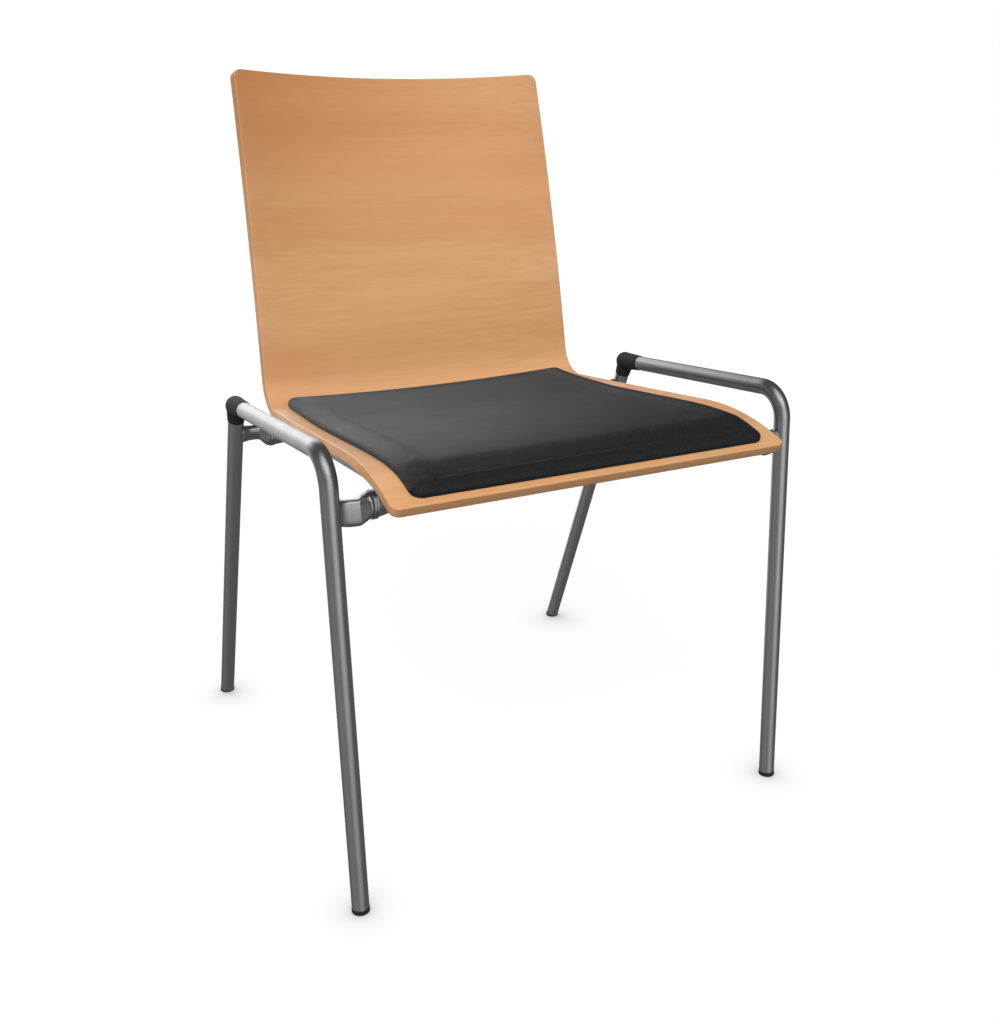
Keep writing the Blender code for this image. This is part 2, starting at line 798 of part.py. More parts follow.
def pad_edge_distance(station, x):
    """Distance of a point from the pad's outline."""
    ends = min(station - PAD_FRONT_MARGIN, PAD_REAR_STATION - station)
    side = pad_half_width(station) - abs(x)
    radius = PAD_CORNER_RADIUS
    if ends < radius and side < radius:
        return radius - math.hypot(radius - ends, radius - side)
    return min(ends, side)


def pad_top(station, x):
    """Height of the pad's upper face: a rolled edge and a low crown."""
    share = min(max(pad_edge_distance(station, x), 0.0) / PAD_ROLL_WIDTH, 1.0)
    roll = (PAD_HEIGHT - PAD_EDGE_HEIGHT) * math.sqrt(share * (2 - share))
    along = (station - PAD_FRONT_MARGIN) / (PAD_REAR_STATION - PAD_FRONT_MARGIN)
    bulge = math.sin(math.pi * min(max(along, 0.0), 1.0)) * (1 - (x / pad_half_width(station)) ** 2)
    return PAD_EDGE_HEIGHT + roll + PAD_CROWN * max(bulge, 0.0)


def level(height):
    """The same height at every point."""
    return lambda station, x: height


def build_shell():
    """Moulded plywood shell with blind holes for its inserts and through holes for the pad's screws."""
    bm = bmesh.new()
    grid_faces(bm, patch_points(shell_rows(), shell_columns, level(0.0)))
    bm.normal_update()
    if sum(face.normal.z for face in bm.faces) < 0:
        bmesh.ops.reverse_faces(bm, faces=bm.faces)
    mesh = bpy.data.meshes.new("seat_shell")
    bm.to_mesh(mesh)
    bm.free()
    shell = add_object("seat_shell", mesh, "beech_plywood")
    ply = shell.modifiers.new("ply", "SOLIDIFY")
    ply.thickness = SHELL_THICKNESS
    ply.offset = -1.0
    ply.use_even_offset = True
    edge = shell.modifiers.new("edge", "BEVEL")
    edge.width = SHELL_EDGE_RADIUS
    edge.segments = 2
    edge.limit_method = "ANGLE"
    edge.angle_limit = math.radians(60)
    return shell


def build_shell_fixings(shell):
    """Saddle spacers, screws and threaded inserts that hold the shell on its rails."""
    stations = {end: station_from_arm(end, FIXING_SETBACK[end]) for end in ENDS}
    first, last = stations.values()
    rows = spread(first - SPACER_LENGTH, last + SPACER_LENGTH, 16)
    relief = patch_solid(
        "spacer_relief",
        rows,
        lambda station: spread(-half_width(station), half_width(station), 16),
        level(-SHELL_THICKNESS - GAP),
        level(SHELL_THICKNESS),
    )
    for side in SIDES:
        front, rear = (seat_rail_corner(side, end) for end in ENDS)
        saddle = rod(f"spacer_saddle_{side}", front, rear, TUBE_RADIUS + GAP)
        for end, station in stations.items():
            axis, up, depth = fixing_axis(side, end)
            face = depth - dish(station, SIDES[side] * SEAT_RAIL_X)
            build_spacer(f"{end}_{side}", axis, up, depth, saddle, relief)
            head = SCREW_HEAD_DIAMETER / 2
            shank = SCREW_DIAMETER / 2
            under = -TUBE_RADIUS - GAP
            tip = face + INSERT_LENGTH - 2 * GAP
            crown = under - SCREW_HEAD_HEIGHT
            profile = [(0.0, tip), (shank, tip), (shank, under), (head, under)]
            profile += [(head, under - SCREW_HEAD_HEIGHT / 3), (head * 0.6, crown), (0.0, crown)]
            turned(f"shell_screw_{end}_{side}", profile, axis, up, "zinc_steel", SMALL_SIDES)
            nut = INSERT_DIAMETER / 2
            base = face + GAP
            bore = shank + GAP
            profile = [(bore, base + INSERT_LENGTH), (nut, base + INSERT_LENGTH), (nut, base), (bore, base)]
            turned(f"shell_insert_{end}_{side}", profile, axis, up, "zinc_steel", SMALL_SIDES, ring=True)
            pocket = rod(
                f"insert_pocket_{end}_{side}",
                axis + up * (face - SHELL_THICKNESS),
                axis + up * (base + INSERT_LENGTH + GAP),
                nut + GAP,
                sides=SMALL_SIDES,
            )
            boolean(shell, pocket)


def build_spacer(name, axis, up, depth, saddle, relief):
    """Plastic saddle between a seat rail and the shell's lower face."""
    half = TUBE_RADIUS + GAP + SPACER_WALL
    bm = bmesh.new()
    low, high = -TUBE_RADIUS / 6, depth + SHELL_THICKNESS / 2
    size = Matrix.Diagonal((2 * half, SPACER_LENGTH, high - low, 1.0))
    bmesh.ops.create_cube(bm, size=1.0, matrix=Matrix.Translation((0, 0, (low + high) / 2)) @ size)
    upright = [edge for edge in bm.edges if abs(edge.verts[0].co.z - edge.verts[1].co.z) > half / 2]
    bmesh.ops.bevel(bm, geom=upright, offset=SPACER_CORNER, segments=2, profile=0.5, affect="EDGES")
    along = Vector((0.0, up.z, -up.y))
    turn = Matrix((Vector((1, 0, 0)), along, up)).transposed().to_4x4()
    bm.transform(Matrix.Translation(axis) @ turn)
    spacer = add_object(f"spacer_{name}", mesh_from(bm, f"spacer_{name}"), "black_plastic")
    boolean(spacer, saddle)
    boolean(spacer, relief)
    hole = rod(
        f"spacer_hole_{name}",
        axis - up * TUBE_DIAMETER,
        axis + up * 2 * depth,
        SCREW_DIAMETER / 2 + GAP,
        sides=SMALL_SIDES,
    )
    boolean(spacer, hole)


def build_pad(shell):
    """Upholstered pad with its board inside, screwed on from under the shell."""
    edge = [PAD_ROLL_WIDTH * share for share in (0.0, 0.07, 0.2, 0.4, 0.68, 1.0)]
    rows, columns = pad_rows(0.0, edge), pad_columns(0.0, edge, 6)
    pad = patch_solid("seat_pad", rows, columns, level(GAP), pad_top, "black_leather")
    board_top = 2 * GAP + PAD_BOARD_THICKNESS
    edge = [PAD_CORNER_RADIUS * share for share in (0.0, 0.125, 0.25)]
    rows, columns = pad_rows(PAD_BOARD_INSET, edge), pad_columns(PAD_BOARD_INSET, edge, 6)
    board = patch_solid("pad_board", rows, columns, level(2 * GAP), level(board_top), "pad_board")
    inset = PAD_BOARD_INSET - GAP
    rows, columns = pad_rows(inset, edge), pad_columns(inset, edge, 6)
    pocket = patch_solid("board_pocket", rows, columns, level(-PAD_BOARD_THICKNESS), level(board_top + GAP))
    boolean(pad, pocket)
    shank = PAD_SCREW_DIAMETER / 2
    head = PAD_SCREW_HEAD_DIAMETER / 2
    for side, sign in SIDES.items():
        for end, station in PAD_SCREW_STATIONS.items():
            x = sign * PAD_SCREW_X
            base = shell_point(station, x, -SHELL_THICKNESS)
            up = profile_normal(station)
            tip = SHELL_THICKNESS + 2 * GAP + 0.8 * PAD_BOARD_THICKNESS
            crown = -GAP - PAD_SCREW_HEAD_HEIGHT
            profile = [(0.0, tip), (shank, tip), (shank, -GAP), (head, -GAP)]
            profile += [(head, crown / 2), (head * 0.6, crown), (0.0, crown)]
            turned(f"pad_screw_{end}_{side}", profile, base, up, "zinc_steel", SMALL_SIDES)
            hole = rod(
                f"pad_screw_hole_{end}_{side}",
                base - up * SHELL_THICKNESS,
                base + up * 2 * (SHELL_THICKNESS + PAD_BOARD_THICKNESS),
                shank + GAP,
                sides=SMALL_SIDES,
            )
            boolean(shell, hole)
            boolean(board, hole)


def centre_on_origin():
    """Put the middle of the chair's bounding box over the origin."""
    graph = bpy.context.evaluated_depsgraph_get()
    depths = []
    for obj in PARTS.objects:
        if obj.type == "MESH":
            shape = obj.evaluated_get(graph)
            depths += [(shape.matrix_world @ vert.co).y for vert in shape.data.vertices]
    ORIGIN.location.y = -(min(depths) + max(depths)) / 2


clear_scene()
PARTS = new_collection("stacking_chair")
CUTTERS = new_collection("cutters")
ORIGIN = bpy.data.objects.new("chair_origin", None)
PARTS.objects.link(ORIGIN)
build_side_frames()
build_glides()
build_elbows()
build_seat_rails()
build_cross_tubes()
SHELL = build_shell()
build_shell_fixings(SHELL)
build_pad(SHELL)
centre_on_origin()
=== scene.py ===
"""Looks of the stacking chair: veneer shell, leather pad, steel frame, moulded plastic and a soft studio."""

import json
import logging
import math
from dataclasses import dataclass, field
from enum import Enum
from typing import Any, Callable, Optional, Sequence

import bmesh
import bpy
from bmesh.types import BMEdge, BMesh, BMVert
from bpy.types import Material, Node, NodeSocket, NodeTree, Object
from mathutils import Matrix, Vector

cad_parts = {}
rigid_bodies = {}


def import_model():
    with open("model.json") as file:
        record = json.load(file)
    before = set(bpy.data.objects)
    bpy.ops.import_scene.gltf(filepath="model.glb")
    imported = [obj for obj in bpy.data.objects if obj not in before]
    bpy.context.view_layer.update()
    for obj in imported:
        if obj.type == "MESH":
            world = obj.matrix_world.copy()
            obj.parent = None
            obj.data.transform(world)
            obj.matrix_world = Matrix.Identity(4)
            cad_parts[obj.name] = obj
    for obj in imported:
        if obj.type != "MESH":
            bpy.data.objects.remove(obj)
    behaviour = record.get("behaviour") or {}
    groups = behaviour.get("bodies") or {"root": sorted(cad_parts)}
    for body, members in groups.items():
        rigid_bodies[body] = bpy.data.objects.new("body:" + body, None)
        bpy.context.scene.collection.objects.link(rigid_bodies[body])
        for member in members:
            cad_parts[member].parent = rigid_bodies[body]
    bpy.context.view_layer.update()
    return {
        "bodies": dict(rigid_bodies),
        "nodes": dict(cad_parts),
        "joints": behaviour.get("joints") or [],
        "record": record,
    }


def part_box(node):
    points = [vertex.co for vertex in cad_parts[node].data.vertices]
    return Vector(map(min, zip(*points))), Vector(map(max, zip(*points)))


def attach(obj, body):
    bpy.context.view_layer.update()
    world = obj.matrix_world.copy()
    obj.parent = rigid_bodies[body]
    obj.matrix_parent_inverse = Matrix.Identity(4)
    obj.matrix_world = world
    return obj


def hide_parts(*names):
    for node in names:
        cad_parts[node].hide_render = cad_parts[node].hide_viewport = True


LOG = logging.getLogger("stacking_chair")
BODY = "root"
DEPTH_SHIFT = 0.00876
SMOOTH_ANGLE = math.radians(38)
ROUND_SIDES = 48
FINE_SIDES = 64
Height = Callable[[float, float], float]
Color = tuple[float, float, float, float]
Rows = tuple[tuple[float, int], ...]


class Side(Enum):
    """The two sides of the chair, as seen from the front."""

    LEFT = -1
    RIGHT = 1

    @property
    def label(self) -> str:
        """Lower-case word of the side."""
        return self.name.lower()


class End(Enum):
    """The two ends of the chair."""

    FRONT = "front"
    REAR = "rear"


def by_end(front: float, rear: float) -> Any:
    """Dataclass field with one value for each end of the chair."""
    return field(default_factory=lambda: {End.FRONT: front, End.REAR: rear})


# Mesh helpers


def aimed(origin: Vector, direction: Vector) -> Matrix:
    """Matrix that moves the origin to a point and turns its Z axis along a direction."""
    return Matrix.Translation(origin) @ direction.to_track_quat("Z", "Y").to_matrix().to_4x4()


def spread(start: float, end: float, count: int) -> list[float]:
    """Evenly spaced values, both ends included, with a count of steps between them."""
    return [start + (end - start) * step / count for step in range(count + 1)]


def ramp(value: float, start: float, end: float) -> float:
    """Soft ramp from 0 at the start to 1 at the end."""
    share = min(max((value - start) / (end - start), 0.0), 1.0)
    return share * share * (3 - 2 * share)


def upright(origin: Vector, direction: Vector, up: Vector) -> Matrix:
    """Matrix at a point, its Z axis along a direction and its Y axis along an upright square to it."""
    axes = Matrix((up.cross(direction).normalized(), up.normalized(), direction.normalized())).transposed()
    return Matrix.Translation(origin) @ axes.to_4x4()


def squared(bm: BMesh, edges: Sequence[BMEdge], place: Matrix, power: float) -> None:
    """Pushes a unit circle's sides out towards a square.

    Args:
        bm: The mesh that holds the circle.
        edges: The circle's edges.
        place: Where the circle goes afterwards.
        power: 2 keeps the circle, and more makes it squarer.
    """
    verts = list({vert for edge in edges for vert in edge.verts})
    for vert in verts:
        vert.co.x, vert.co.y = (math.copysign(abs(share) ** (2 / power), share) for share in vert.co.xy)
    bmesh.ops.transform(bm, matrix=place, verts=verts)


def ring_edges(bm: BMesh, matrix: Matrix, radius: float, sides: int = ROUND_SIDES) -> list[BMEdge]:
    """Adds a circle in the matrix's XY plane and returns its edges."""
    made = bmesh.ops.create_circle(bm, cap_ends=False, segments=sides, radius=radius, matrix=matrix)
    return list({edge for vert in made["verts"] for edge in vert.link_edges})


def make_object(bm: BMesh, name: str, outward: bool = True) -> Object:
    """Turns a bmesh into a smooth-shaded object at the origin.

    Args:
        bm: The finished mesh, which is freed.
        name: The object's name.
        outward: Whether to point the faces out first.

    Returns:
        The new object.
    """
    if outward:
        bmesh.ops.recalc_face_normals(bm, faces=bm.faces)
    mesh = bpy.data.meshes.new(name)
    bm.to_mesh(mesh)
    bm.free()
    mesh.shade_smooth()
    mesh.set_sharp_from_angle(angle=SMOOTH_ANGLE)
    obj = bpy.data.objects.new(name, mesh)
    bpy.context.scene.collection.objects.link(obj)
    return obj


def settle_modifiers(obj: Object) -> None:
    """Replaces an object's mesh by what its modifiers make of it.

    Args:
        obj: The object, which loses its modifiers.
    """
    graph = bpy.context.evaluated_depsgraph_get()
    mesh = bpy.data.meshes.new_from_object(obj.evaluated_get(graph))
    obj.modifiers.clear()
    obj.data = mesh


def dress(obj: Object, finishes: Sequence["Finish"], nodes: Sequence[str]) -> None:
    """Gives a piece its finishes, its body and the nodes that it stands for.

    Args:
        obj: The modelled piece.
        finishes: Its finishes, in the order of its faces' indices.
        nodes: The frame's nodes that it replaces.
    """
    obj.data.materials.clear()
    for finish in finishes:
        obj.data.materials.append(finish.material())
    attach(obj, BODY)
    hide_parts(*nodes)
    LOG.info("%s: %d faces, stands for %s", obj.name, len(obj.data.polygons), ", ".join(nodes))


def bent_tube(
    name: str, corners: Sequence[Vector], radius: float, bend: float = 0.0, steps: int = 1
) -> Object:
    """Round tube along a row of corners, bent at each one between its ends.

    Args:
        name: The object's name.
        corners: Where the tube's axis starts, would turn and ends.
        radius: The tube's outer radius.
        bend: The bends' radius on the tube's axis.
        steps: How many steps each bend is made of.

    Returns:
        The tube's object.
    """
    bm = bmesh.new()
    at, heading = corners[0], (corners[1] - corners[0]).normalized()
    ring = ring_edges(bm, aimed(at, heading), radius)
    bmesh.ops.edgeloop_fill(bm, edges=ring)
    for corner, after in zip(corners[1:], (*corners[2:], None)):
        target = heading if after is None else (after - corner).normalized()
        angle = heading.angle(target)
        reach = bend * math.tan(angle / 2)
        bend_start = corner - heading * reach
        made = bmesh.ops.extrude_edge_only(bm, edges=ring)["geom"]
        verts = [item for item in made if isinstance(item, BMVert)]
        bmesh.ops.translate(bm, verts=verts, vec=bend_start - at)
        ring = [item for item in made if isinstance(item, BMEdge) and set(verts).issuperset(item.verts)]
        if after is not None:
            axis = heading.cross(target).normalized()
            made = bmesh.ops.spin(
                bm,
                geom=verts + ring,
                cent=bend_start + axis.cross(heading) * bend,
                axis=axis,
                dvec=(0.0, 0.0, 0.0),
                angle=angle,
                steps=steps,
                use_merge=False,
                use_duplicate=False,
            )
            ring = [item for item in made["geom_last"] if isinstance(item, BMEdge)]
        at, heading = corner + target * reach, target
    bmesh.ops.edgeloop_fill(bm, edges=ring)
    return make_object(bm, name)


def skin(bm: BMesh, rings: Sequence[list[BMEdge]]) -> None:
    """Joins a row of rings into a closed solid.

    Args:
        bm: The mesh that holds the rings.
        rings: The edges of each ring, from one end to the other.
    """
    for first, second in zip(rings, rings[1:]):
        bmesh.ops.bridge_loops(bm, edges=first + second)
    for end in (rings[0], rings[-1]):
        bmesh.ops.edgeloop_fill(bm, edges=end)


def turned(profile: Sequence[tuple[float, float]], place: Matrix, sides: int = ROUND_SIDES) -> BMesh:
    """Solid of revolution.

    Args:
        profile: (radius, height) points, from one end to the other.
        place: Where the solid's axis stands.
        sides: How many steps the turn has.

    Returns:
        The solid's mesh.
    """
    bm = bmesh.new()
    points = [bm.verts.new((radius, 0.0, height)) for radius, height in profile]
    edges = [bm.edges.new(pair) for pair in zip(points, points[1:])]
    if profile[0][0] > 0 and profile[-1][0] > 0:
        edges.append(bm.edges.new((points[-1], points[0])))
    bmesh.ops.spin(
        bm,
        geom=points + edges,
        cent=(0.0, 0.0, 0.0),
        axis=(0.0, 0.0, 1.0),
        dvec=(0.0, 0.0, 0.0),
        angle=math.tau,
        steps=sides,
        use_merge=True,
        use_duplicate=False,
    )
    bmesh.ops.remove_doubles(bm, verts=bm.verts, dist=1e-6)
    bmesh.ops.transform(bm, matrix=place, verts=bm.verts)
    return bm


# Shader helpers


class NodeSheet:
    """Adds and joins the nodes of one tree."""

    def __init__(self, tree: NodeTree) -> None:
        """Takes the tree that gets the nodes."""
        self.tree = tree

    def feed(self, socket: NodeSocket, value: Any) -> None:
        """Joins an input to another socket, or sets its value.

        Args:
            socket: The input.
            value: A value, or the socket to join.
        """
        if isinstance(value, NodeSocket):
            self.tree.links.new(value, socket)
        else:
            socket.default_value = value

    def add(self, kind: str, inputs: Optional[dict[Any, Any]] = None, **settings: Any) -> Node:
        """Adds a node.

        Args:
            kind: The node's type.
            inputs: Values, or sockets to join, by the name or number of the node's input.
            **settings: The node's own settings.

        Returns:
            The new node.
        """
        node = self.tree.nodes.new(kind)
        for name, value in settings.items():
            setattr(node, name, value)
        for name, value in (inputs or {}).items():
            self.feed(node.inputs[name], value)
        return node

    def math(self, operation: str, first: Any, second: Any = 0.0) -> NodeSocket:
        """Adds a Math node on two values or sockets and returns its output."""
        return self.add("ShaderNodeMath", {0: first, 1: second}, operation=operation).outputs[0]

    def rays(self) -> tuple[NodeSocket, NodeSocket]:
        """Tells what a ray is for.

        Returns:
            Whether it shows to the camera, and whether it is a mirrored one.
        """
        path = self.add("ShaderNodeLightPath").outputs
        shown = self.math("MAXIMUM", path["Is Camera Ray"], path["Is Transmission Ray"])
        return shown, path["Is Glossy Ray"]

    def ranged(
        self, value: NodeSocket, low: float, high: float, to_low: float, to_high: float
    ) -> NodeSocket:
        """Maps a value from one range to another.

        Args:
            value: The socket that gives the value.
            low: The start of its range.
            high: The end of its range.
            to_low: The start of the new range.
            to_high: The end of the new range.

        Returns:
            The mapped value.
        """
        names = ("Value", "From Min", "From Max", "To Min", "To Max")
        node = self.add("ShaderNodeMapRange", dict(zip(names, (value, low, high, to_low, to_high))))
        return node.outputs["Result"]

    def mixed(self, share: Any, first: Any, second: Any) -> NodeSocket:
        """Mixes a share of a second colour into a first one, each a value or a socket."""
        return self.add("ShaderNodeMix", {"Factor": share, 6: first, 7: second}, data_type="RGBA").outputs[2]


def linear(red: int, green: int, blue: int) -> Color:
    """Scene colour of a display colour.

    Args:
        red: Red, from 0 to 255.
        green: Green, from 0 to 255.
        blue: Blue, from 0 to 255.

    Returns:
        The linear colour with full alpha.
    """

    def channel(value: int) -> float:
        """One channel of the colour."""
        share = value / 255
        return share / 12.92 if share <= 0.04045 else ((share + 0.055) / 1.055) ** 2.4

    return (channel(red), channel(green), channel(blue), 1.0)


def new_group(name: str, values: dict[str, float]) -> tuple[NodeTree, NodeSheet, dict[str, NodeSocket]]:
    """Starts a shader group with a vector input, number inputs and one value output.

    Args:
        name: The group's name.
        values: The number inputs and their defaults.

    Returns:
        The group, its sheet and its inputs by name.
    """
    tree = bpy.data.node_groups.new(name, "ShaderNodeTree")
    tree.interface.new_socket("Vector", in_out="INPUT", socket_type="NodeSocketVector")
    for label, value in values.items():
        tree.interface.new_socket(label, in_out="INPUT", socket_type="NodeSocketFloat").default_value = value
    tree.interface.new_socket("Value", in_out="OUTPUT", socket_type="NodeSocketFloat")
    sheet = NodeSheet(tree)
    given = sheet.add("NodeGroupInput").outputs
    return tree, sheet, {label: given[label] for label in ("Vector", *values)}


def streak_group() -> NodeTree:
    """Noise drawn out along the chair's width, as wood grain is.

    Returns:
        The shader group.
    """
    name = "grain_streaks"
    if name in bpy.data.node_groups:
        return bpy.data.node_groups[name]
    tree, sheet, given = new_group(name, {"Along": 1.0, "Across": 10.0, "Detail": 2.0, "Warp": 0.0})
    bent = sheet.add("ShaderNodeTexNoise", {"Vector": given["Vector"], "Scale": 5.0, "Detail": 1.0})
    sway = sheet.math("MULTIPLY", sheet.math("SUBTRACT", bent.outputs[0], 0.5), given["Warp"])
    moved = sheet.add("ShaderNodeVectorMath", {0: given["Vector"], 1: sway}, operation="ADD")
    scales = {"X": given["Along"], "Y": given["Across"], "Z": given["Across"]}
    scale = sheet.add("ShaderNodeCombineXYZ", scales)
    ends = {0: moved.outputs[0], 1: scale.outputs[0]}
    drawn = sheet.add("ShaderNodeVectorMath", ends, operation="MULTIPLY")
    inputs = {"Vector": drawn.outputs[0], "Scale": 1.0, "Detail": given["Detail"], "Roughness": 0.55}
    sheet.add("NodeGroupOutput", {"Value": sheet.add("ShaderNodeTexNoise", inputs).outputs[0]})
    return tree


def mottle_group() -> NodeTree:
    """Soft unevenness of a handled surface, between two values.

    Returns:
        The shader group.
    """
    name = "handled_mottle"
    if name in bpy.data.node_groups:
        return bpy.data.node_groups[name]
    tree, sheet, given = new_group(name, {"Scale": 20.0, "Low": 0.3, "High": 0.4})
    inputs = {"Vector": given["Vector"], "Scale": given["Scale"], "Detail": 4.0}
    broad = sheet.add("ShaderNodeTexNoise", inputs)
    span = sheet.math("SUBTRACT", given["High"], given["Low"])
    grown = sheet.math("MULTIPLY", broad.outputs[0], span)
    sheet.add("NodeGroupOutput", {"Value": sheet.math("ADD", grown, given["Low"])})
    return tree


class MaterialSheet(NodeSheet):
    """Adds and joins the nodes of one material."""

    def __init__(self, material: Material) -> None:
        """Takes the material that gets the nodes.

        Args:
            material: The material, with the shader that it starts with.
        """
        super().__init__(material.node_tree)
        self.shader = material.node_tree.nodes["Principled BSDF"]
        self.place = self.add("ShaderNodeTexCoord").outputs["Object"]

    def group(self, tree: NodeTree, **inputs: float) -> NodeSocket:
        """Places a shader group with its number inputs."""
        return self.add("ShaderNodeGroup", {"Vector": self.place, **inputs}, node_tree=tree).outputs[0]

    def noise(self, scale: float, detail: float) -> NodeSocket:
        """Even noise of a scale."""
        inputs = {"Vector": self.place, "Scale": scale, "Detail": detail}
        return self.add("ShaderNodeTexNoise", inputs).outputs[0]

    def paint(self, color: NodeSocket) -> None:
        """Gives the shader its colour."""
        self.feed(self.shader.inputs["Base Color"], color)

    def polish(self, scale: float, low: float, high: float) -> None:
        """Lets the roughness wander between two values, in patches of a scale."""
        rough = self.group(mottle_group(), Scale=scale, Low=low, High=high)
        self.feed(self.shader.inputs["Roughness"], rough)

    def bump(self, height: NodeSocket, distance: float, strength: float) -> None:
        """Raises the surface in the shader, by a distance in metres where the height is 1."""
        node = self.add("ShaderNodeBump", {"Height": height, "Distance": distance, "Strength": strength})
        self.feed(self.shader.inputs["Normal"], node.outputs[0])


@dataclass(frozen=True)
class Finish:
    """A finish of the chair, made into a material once."""

    name: str

    def material(self) -> Material:
        """The finish's material.

        Returns:
            The material, with its nodes.
        """
        if self.name in bpy.data.materials:
            return bpy.data.materials[self.name]
        material = bpy.data.materials.new(self.name)
        material.use_nodes = True
        self.draw(MaterialSheet(material))
        return material

    def draw(self, sheet: MaterialSheet) -> None:
        """Fills in the shader."""
        raise NotImplementedError


@dataclass(frozen=True)
class BeechVeneer(Finish):
    """Lacquered beech face veneer, its grain across the chair."""

    light: Color = linear(228, 177, 125)
    dark: Color = linear(208, 153, 102)
    rosy: Color = linear(213, 151, 103)
    fleck: Color = linear(184, 126, 78)
    # Darker, redder tone of the painted shade at the back's top-left.
    deep: Color = linear(188, 126, 76)
    tone_range: tuple[float, float] = (0.36, 0.64)
    blush_range: tuple[float, float] = (0.45, 0.7)
    fleck_range: tuple[float, float] = (0.66, 0.78)
    band_share: float = 0.66
    line_share: float = 0.34
    blush_share: float = 0.5
    fleck_share: float = 0.1
    # Painted shade: its share on the right, its strength at the top, and its spans across and up.
    painted_shade_right: float = 0.4
    painted_shade_top: float = 0.9
    painted_shade_span_x: tuple[float, float] = (-0.2, 0.1)
    painted_shade_span_z: tuple[float, float] = (0.6, 0.85)
    coat: float = 0.22
    coat_roughness: float = 0.3

    def draw(self, sheet: MaterialSheet) -> None:
        """Fills in the shader: bands, streaks and flecks along the grain, and painted shade towards the
        back's top-left.

        Args:
            sheet: The material's nodes.
        """
        grain = streak_group()
        bands = sheet.group(grain, Along=0.6, Across=15.0, Detail=1.5, Warp=0.012)
        lines = sheet.group(grain, Along=1.4, Across=170.0, Detail=3.0, Warp=0.006)
        blush = sheet.group(grain, Along=1.1, Across=7.0, Detail=1.0)
        dashes = sheet.group(grain, Along=70.0, Across=1100.0, Detail=0.0)
        broad = sheet.math("MULTIPLY", bands, self.band_share)
        tone = sheet.math("ADD", broad, sheet.math("MULTIPLY", lines, self.line_share))
        wood = sheet.mixed(sheet.ranged(tone, *self.tone_range, 0.0, 1.0), self.dark, self.light)
        wood = sheet.mixed(sheet.ranged(blush, *self.blush_range, 0.0, self.blush_share), wood, self.rosy)
        # Painted shade: the veneer turns to the darker, redder tone towards the top of the back, most on the
        # left, standing in for the light falling off there.
        parts = sheet.add("ShaderNodeSeparateXYZ", {0: sheet.place}).outputs
        across = sheet.ranged(parts["X"], *self.painted_shade_span_x, 1.0, self.painted_shade_right)
        painted_shade_rise = sheet.ranged(parts["Z"], *self.painted_shade_span_z, 0.0, self.painted_shade_top)
        wood = sheet.mixed(sheet.math("MULTIPLY", painted_shade_rise, across), wood, self.deep)
        marks = sheet.ranged(dashes, *self.fleck_range, 0.0, self.fleck_share)
        sheet.paint(sheet.mixed(marks, wood, self.fleck))
        sheet.polish(scale=9.0, low=0.36, high=0.52)
        sheet.feed(sheet.shader.inputs["Coat Weight"], self.coat)
        sheet.feed(sheet.shader.inputs["Coat Roughness"], self.coat_roughness)
        sheet.bump(lines, distance=0.00012, strength=0.25)


@dataclass(frozen=True)
class PlyEdge(Finish):
    """Sanded plywood edge: plies of long and end grain in turn."""

    plies: float = 7.0
    ply_blur: float = 0.25
    ply_share: float = 0.75
    line_share: float = 0.25
    long_grain: Color = linear(172, 118, 74)
    end_grain: Color = linear(150, 97, 57)

    def draw(self, sheet: MaterialSheet) -> None:
        """Fills in the shader: the ply depth drives the layers.

        Args:
            sheet: The material's nodes.
        """
        depth = sheet.add("ShaderNodeAttribute", attribute_name="ply_depth").outputs["Fac"]
        wave = sheet.math("SINE", sheet.math("MULTIPLY", depth, self.plies * math.pi))
        layer = sheet.ranged(wave, -self.ply_blur, self.ply_blur, 0.0, self.ply_share)
        lines = sheet.group(streak_group(), Along=90.0, Across=110.0, Detail=3.0)
        share = sheet.math("ADD", layer, sheet.math("MULTIPLY", lines, self.line_share))
        sheet.paint(sheet.mixed(share, self.end_grain, self.long_grain))
        sheet.polish(scale=60.0, low=0.45, high=0.62)
        sheet.bump(lines, distance=0.00008, strength=0.3)


@dataclass(frozen=True)
class BlackLeather(Finish):
    """Black upholstery leather with a fine pebble grain."""

    deep: Color = (0.006, 0.006, 0.0062, 1.0)
    raised: Color = (0.015, 0.015, 0.0154, 1.0)
    pebble_scale: float = 450.0
    fine_scale: float = 1000.0
    crease_width: float = 0.22
    fine_share: float = 0.5

    def draw(self, sheet: MaterialSheet) -> None:
        """Fills in the shader: cells of two sizes, with dark creases between them.

        Args:
            sheet: The material's nodes.
        """
        pebbles = {"Vector": sheet.place, "Scale": self.pebble_scale}
        cells = sheet.add("ShaderNodeTexVoronoi", pebbles, feature="DISTANCE_TO_EDGE")
        crease = sheet.ranged(cells.outputs["Distance"], 0.0, self.crease_width, 0.0, 1.0)
        tone = sheet.group(mottle_group(), Scale=14.0, Low=0.25, High=0.9)
        sheet.paint(sheet.mixed(sheet.math("MULTIPLY", crease, tone), self.deep, self.raised))
        sheet.polish(scale=25.0, low=0.36, high=0.46)
        fine = sheet.math("MULTIPLY", sheet.noise(scale=self.fine_scale, detail=2.0), self.fine_share)
        sheet.bump(sheet.math("ADD", crease, fine), distance=0.00034, strength=0.8)


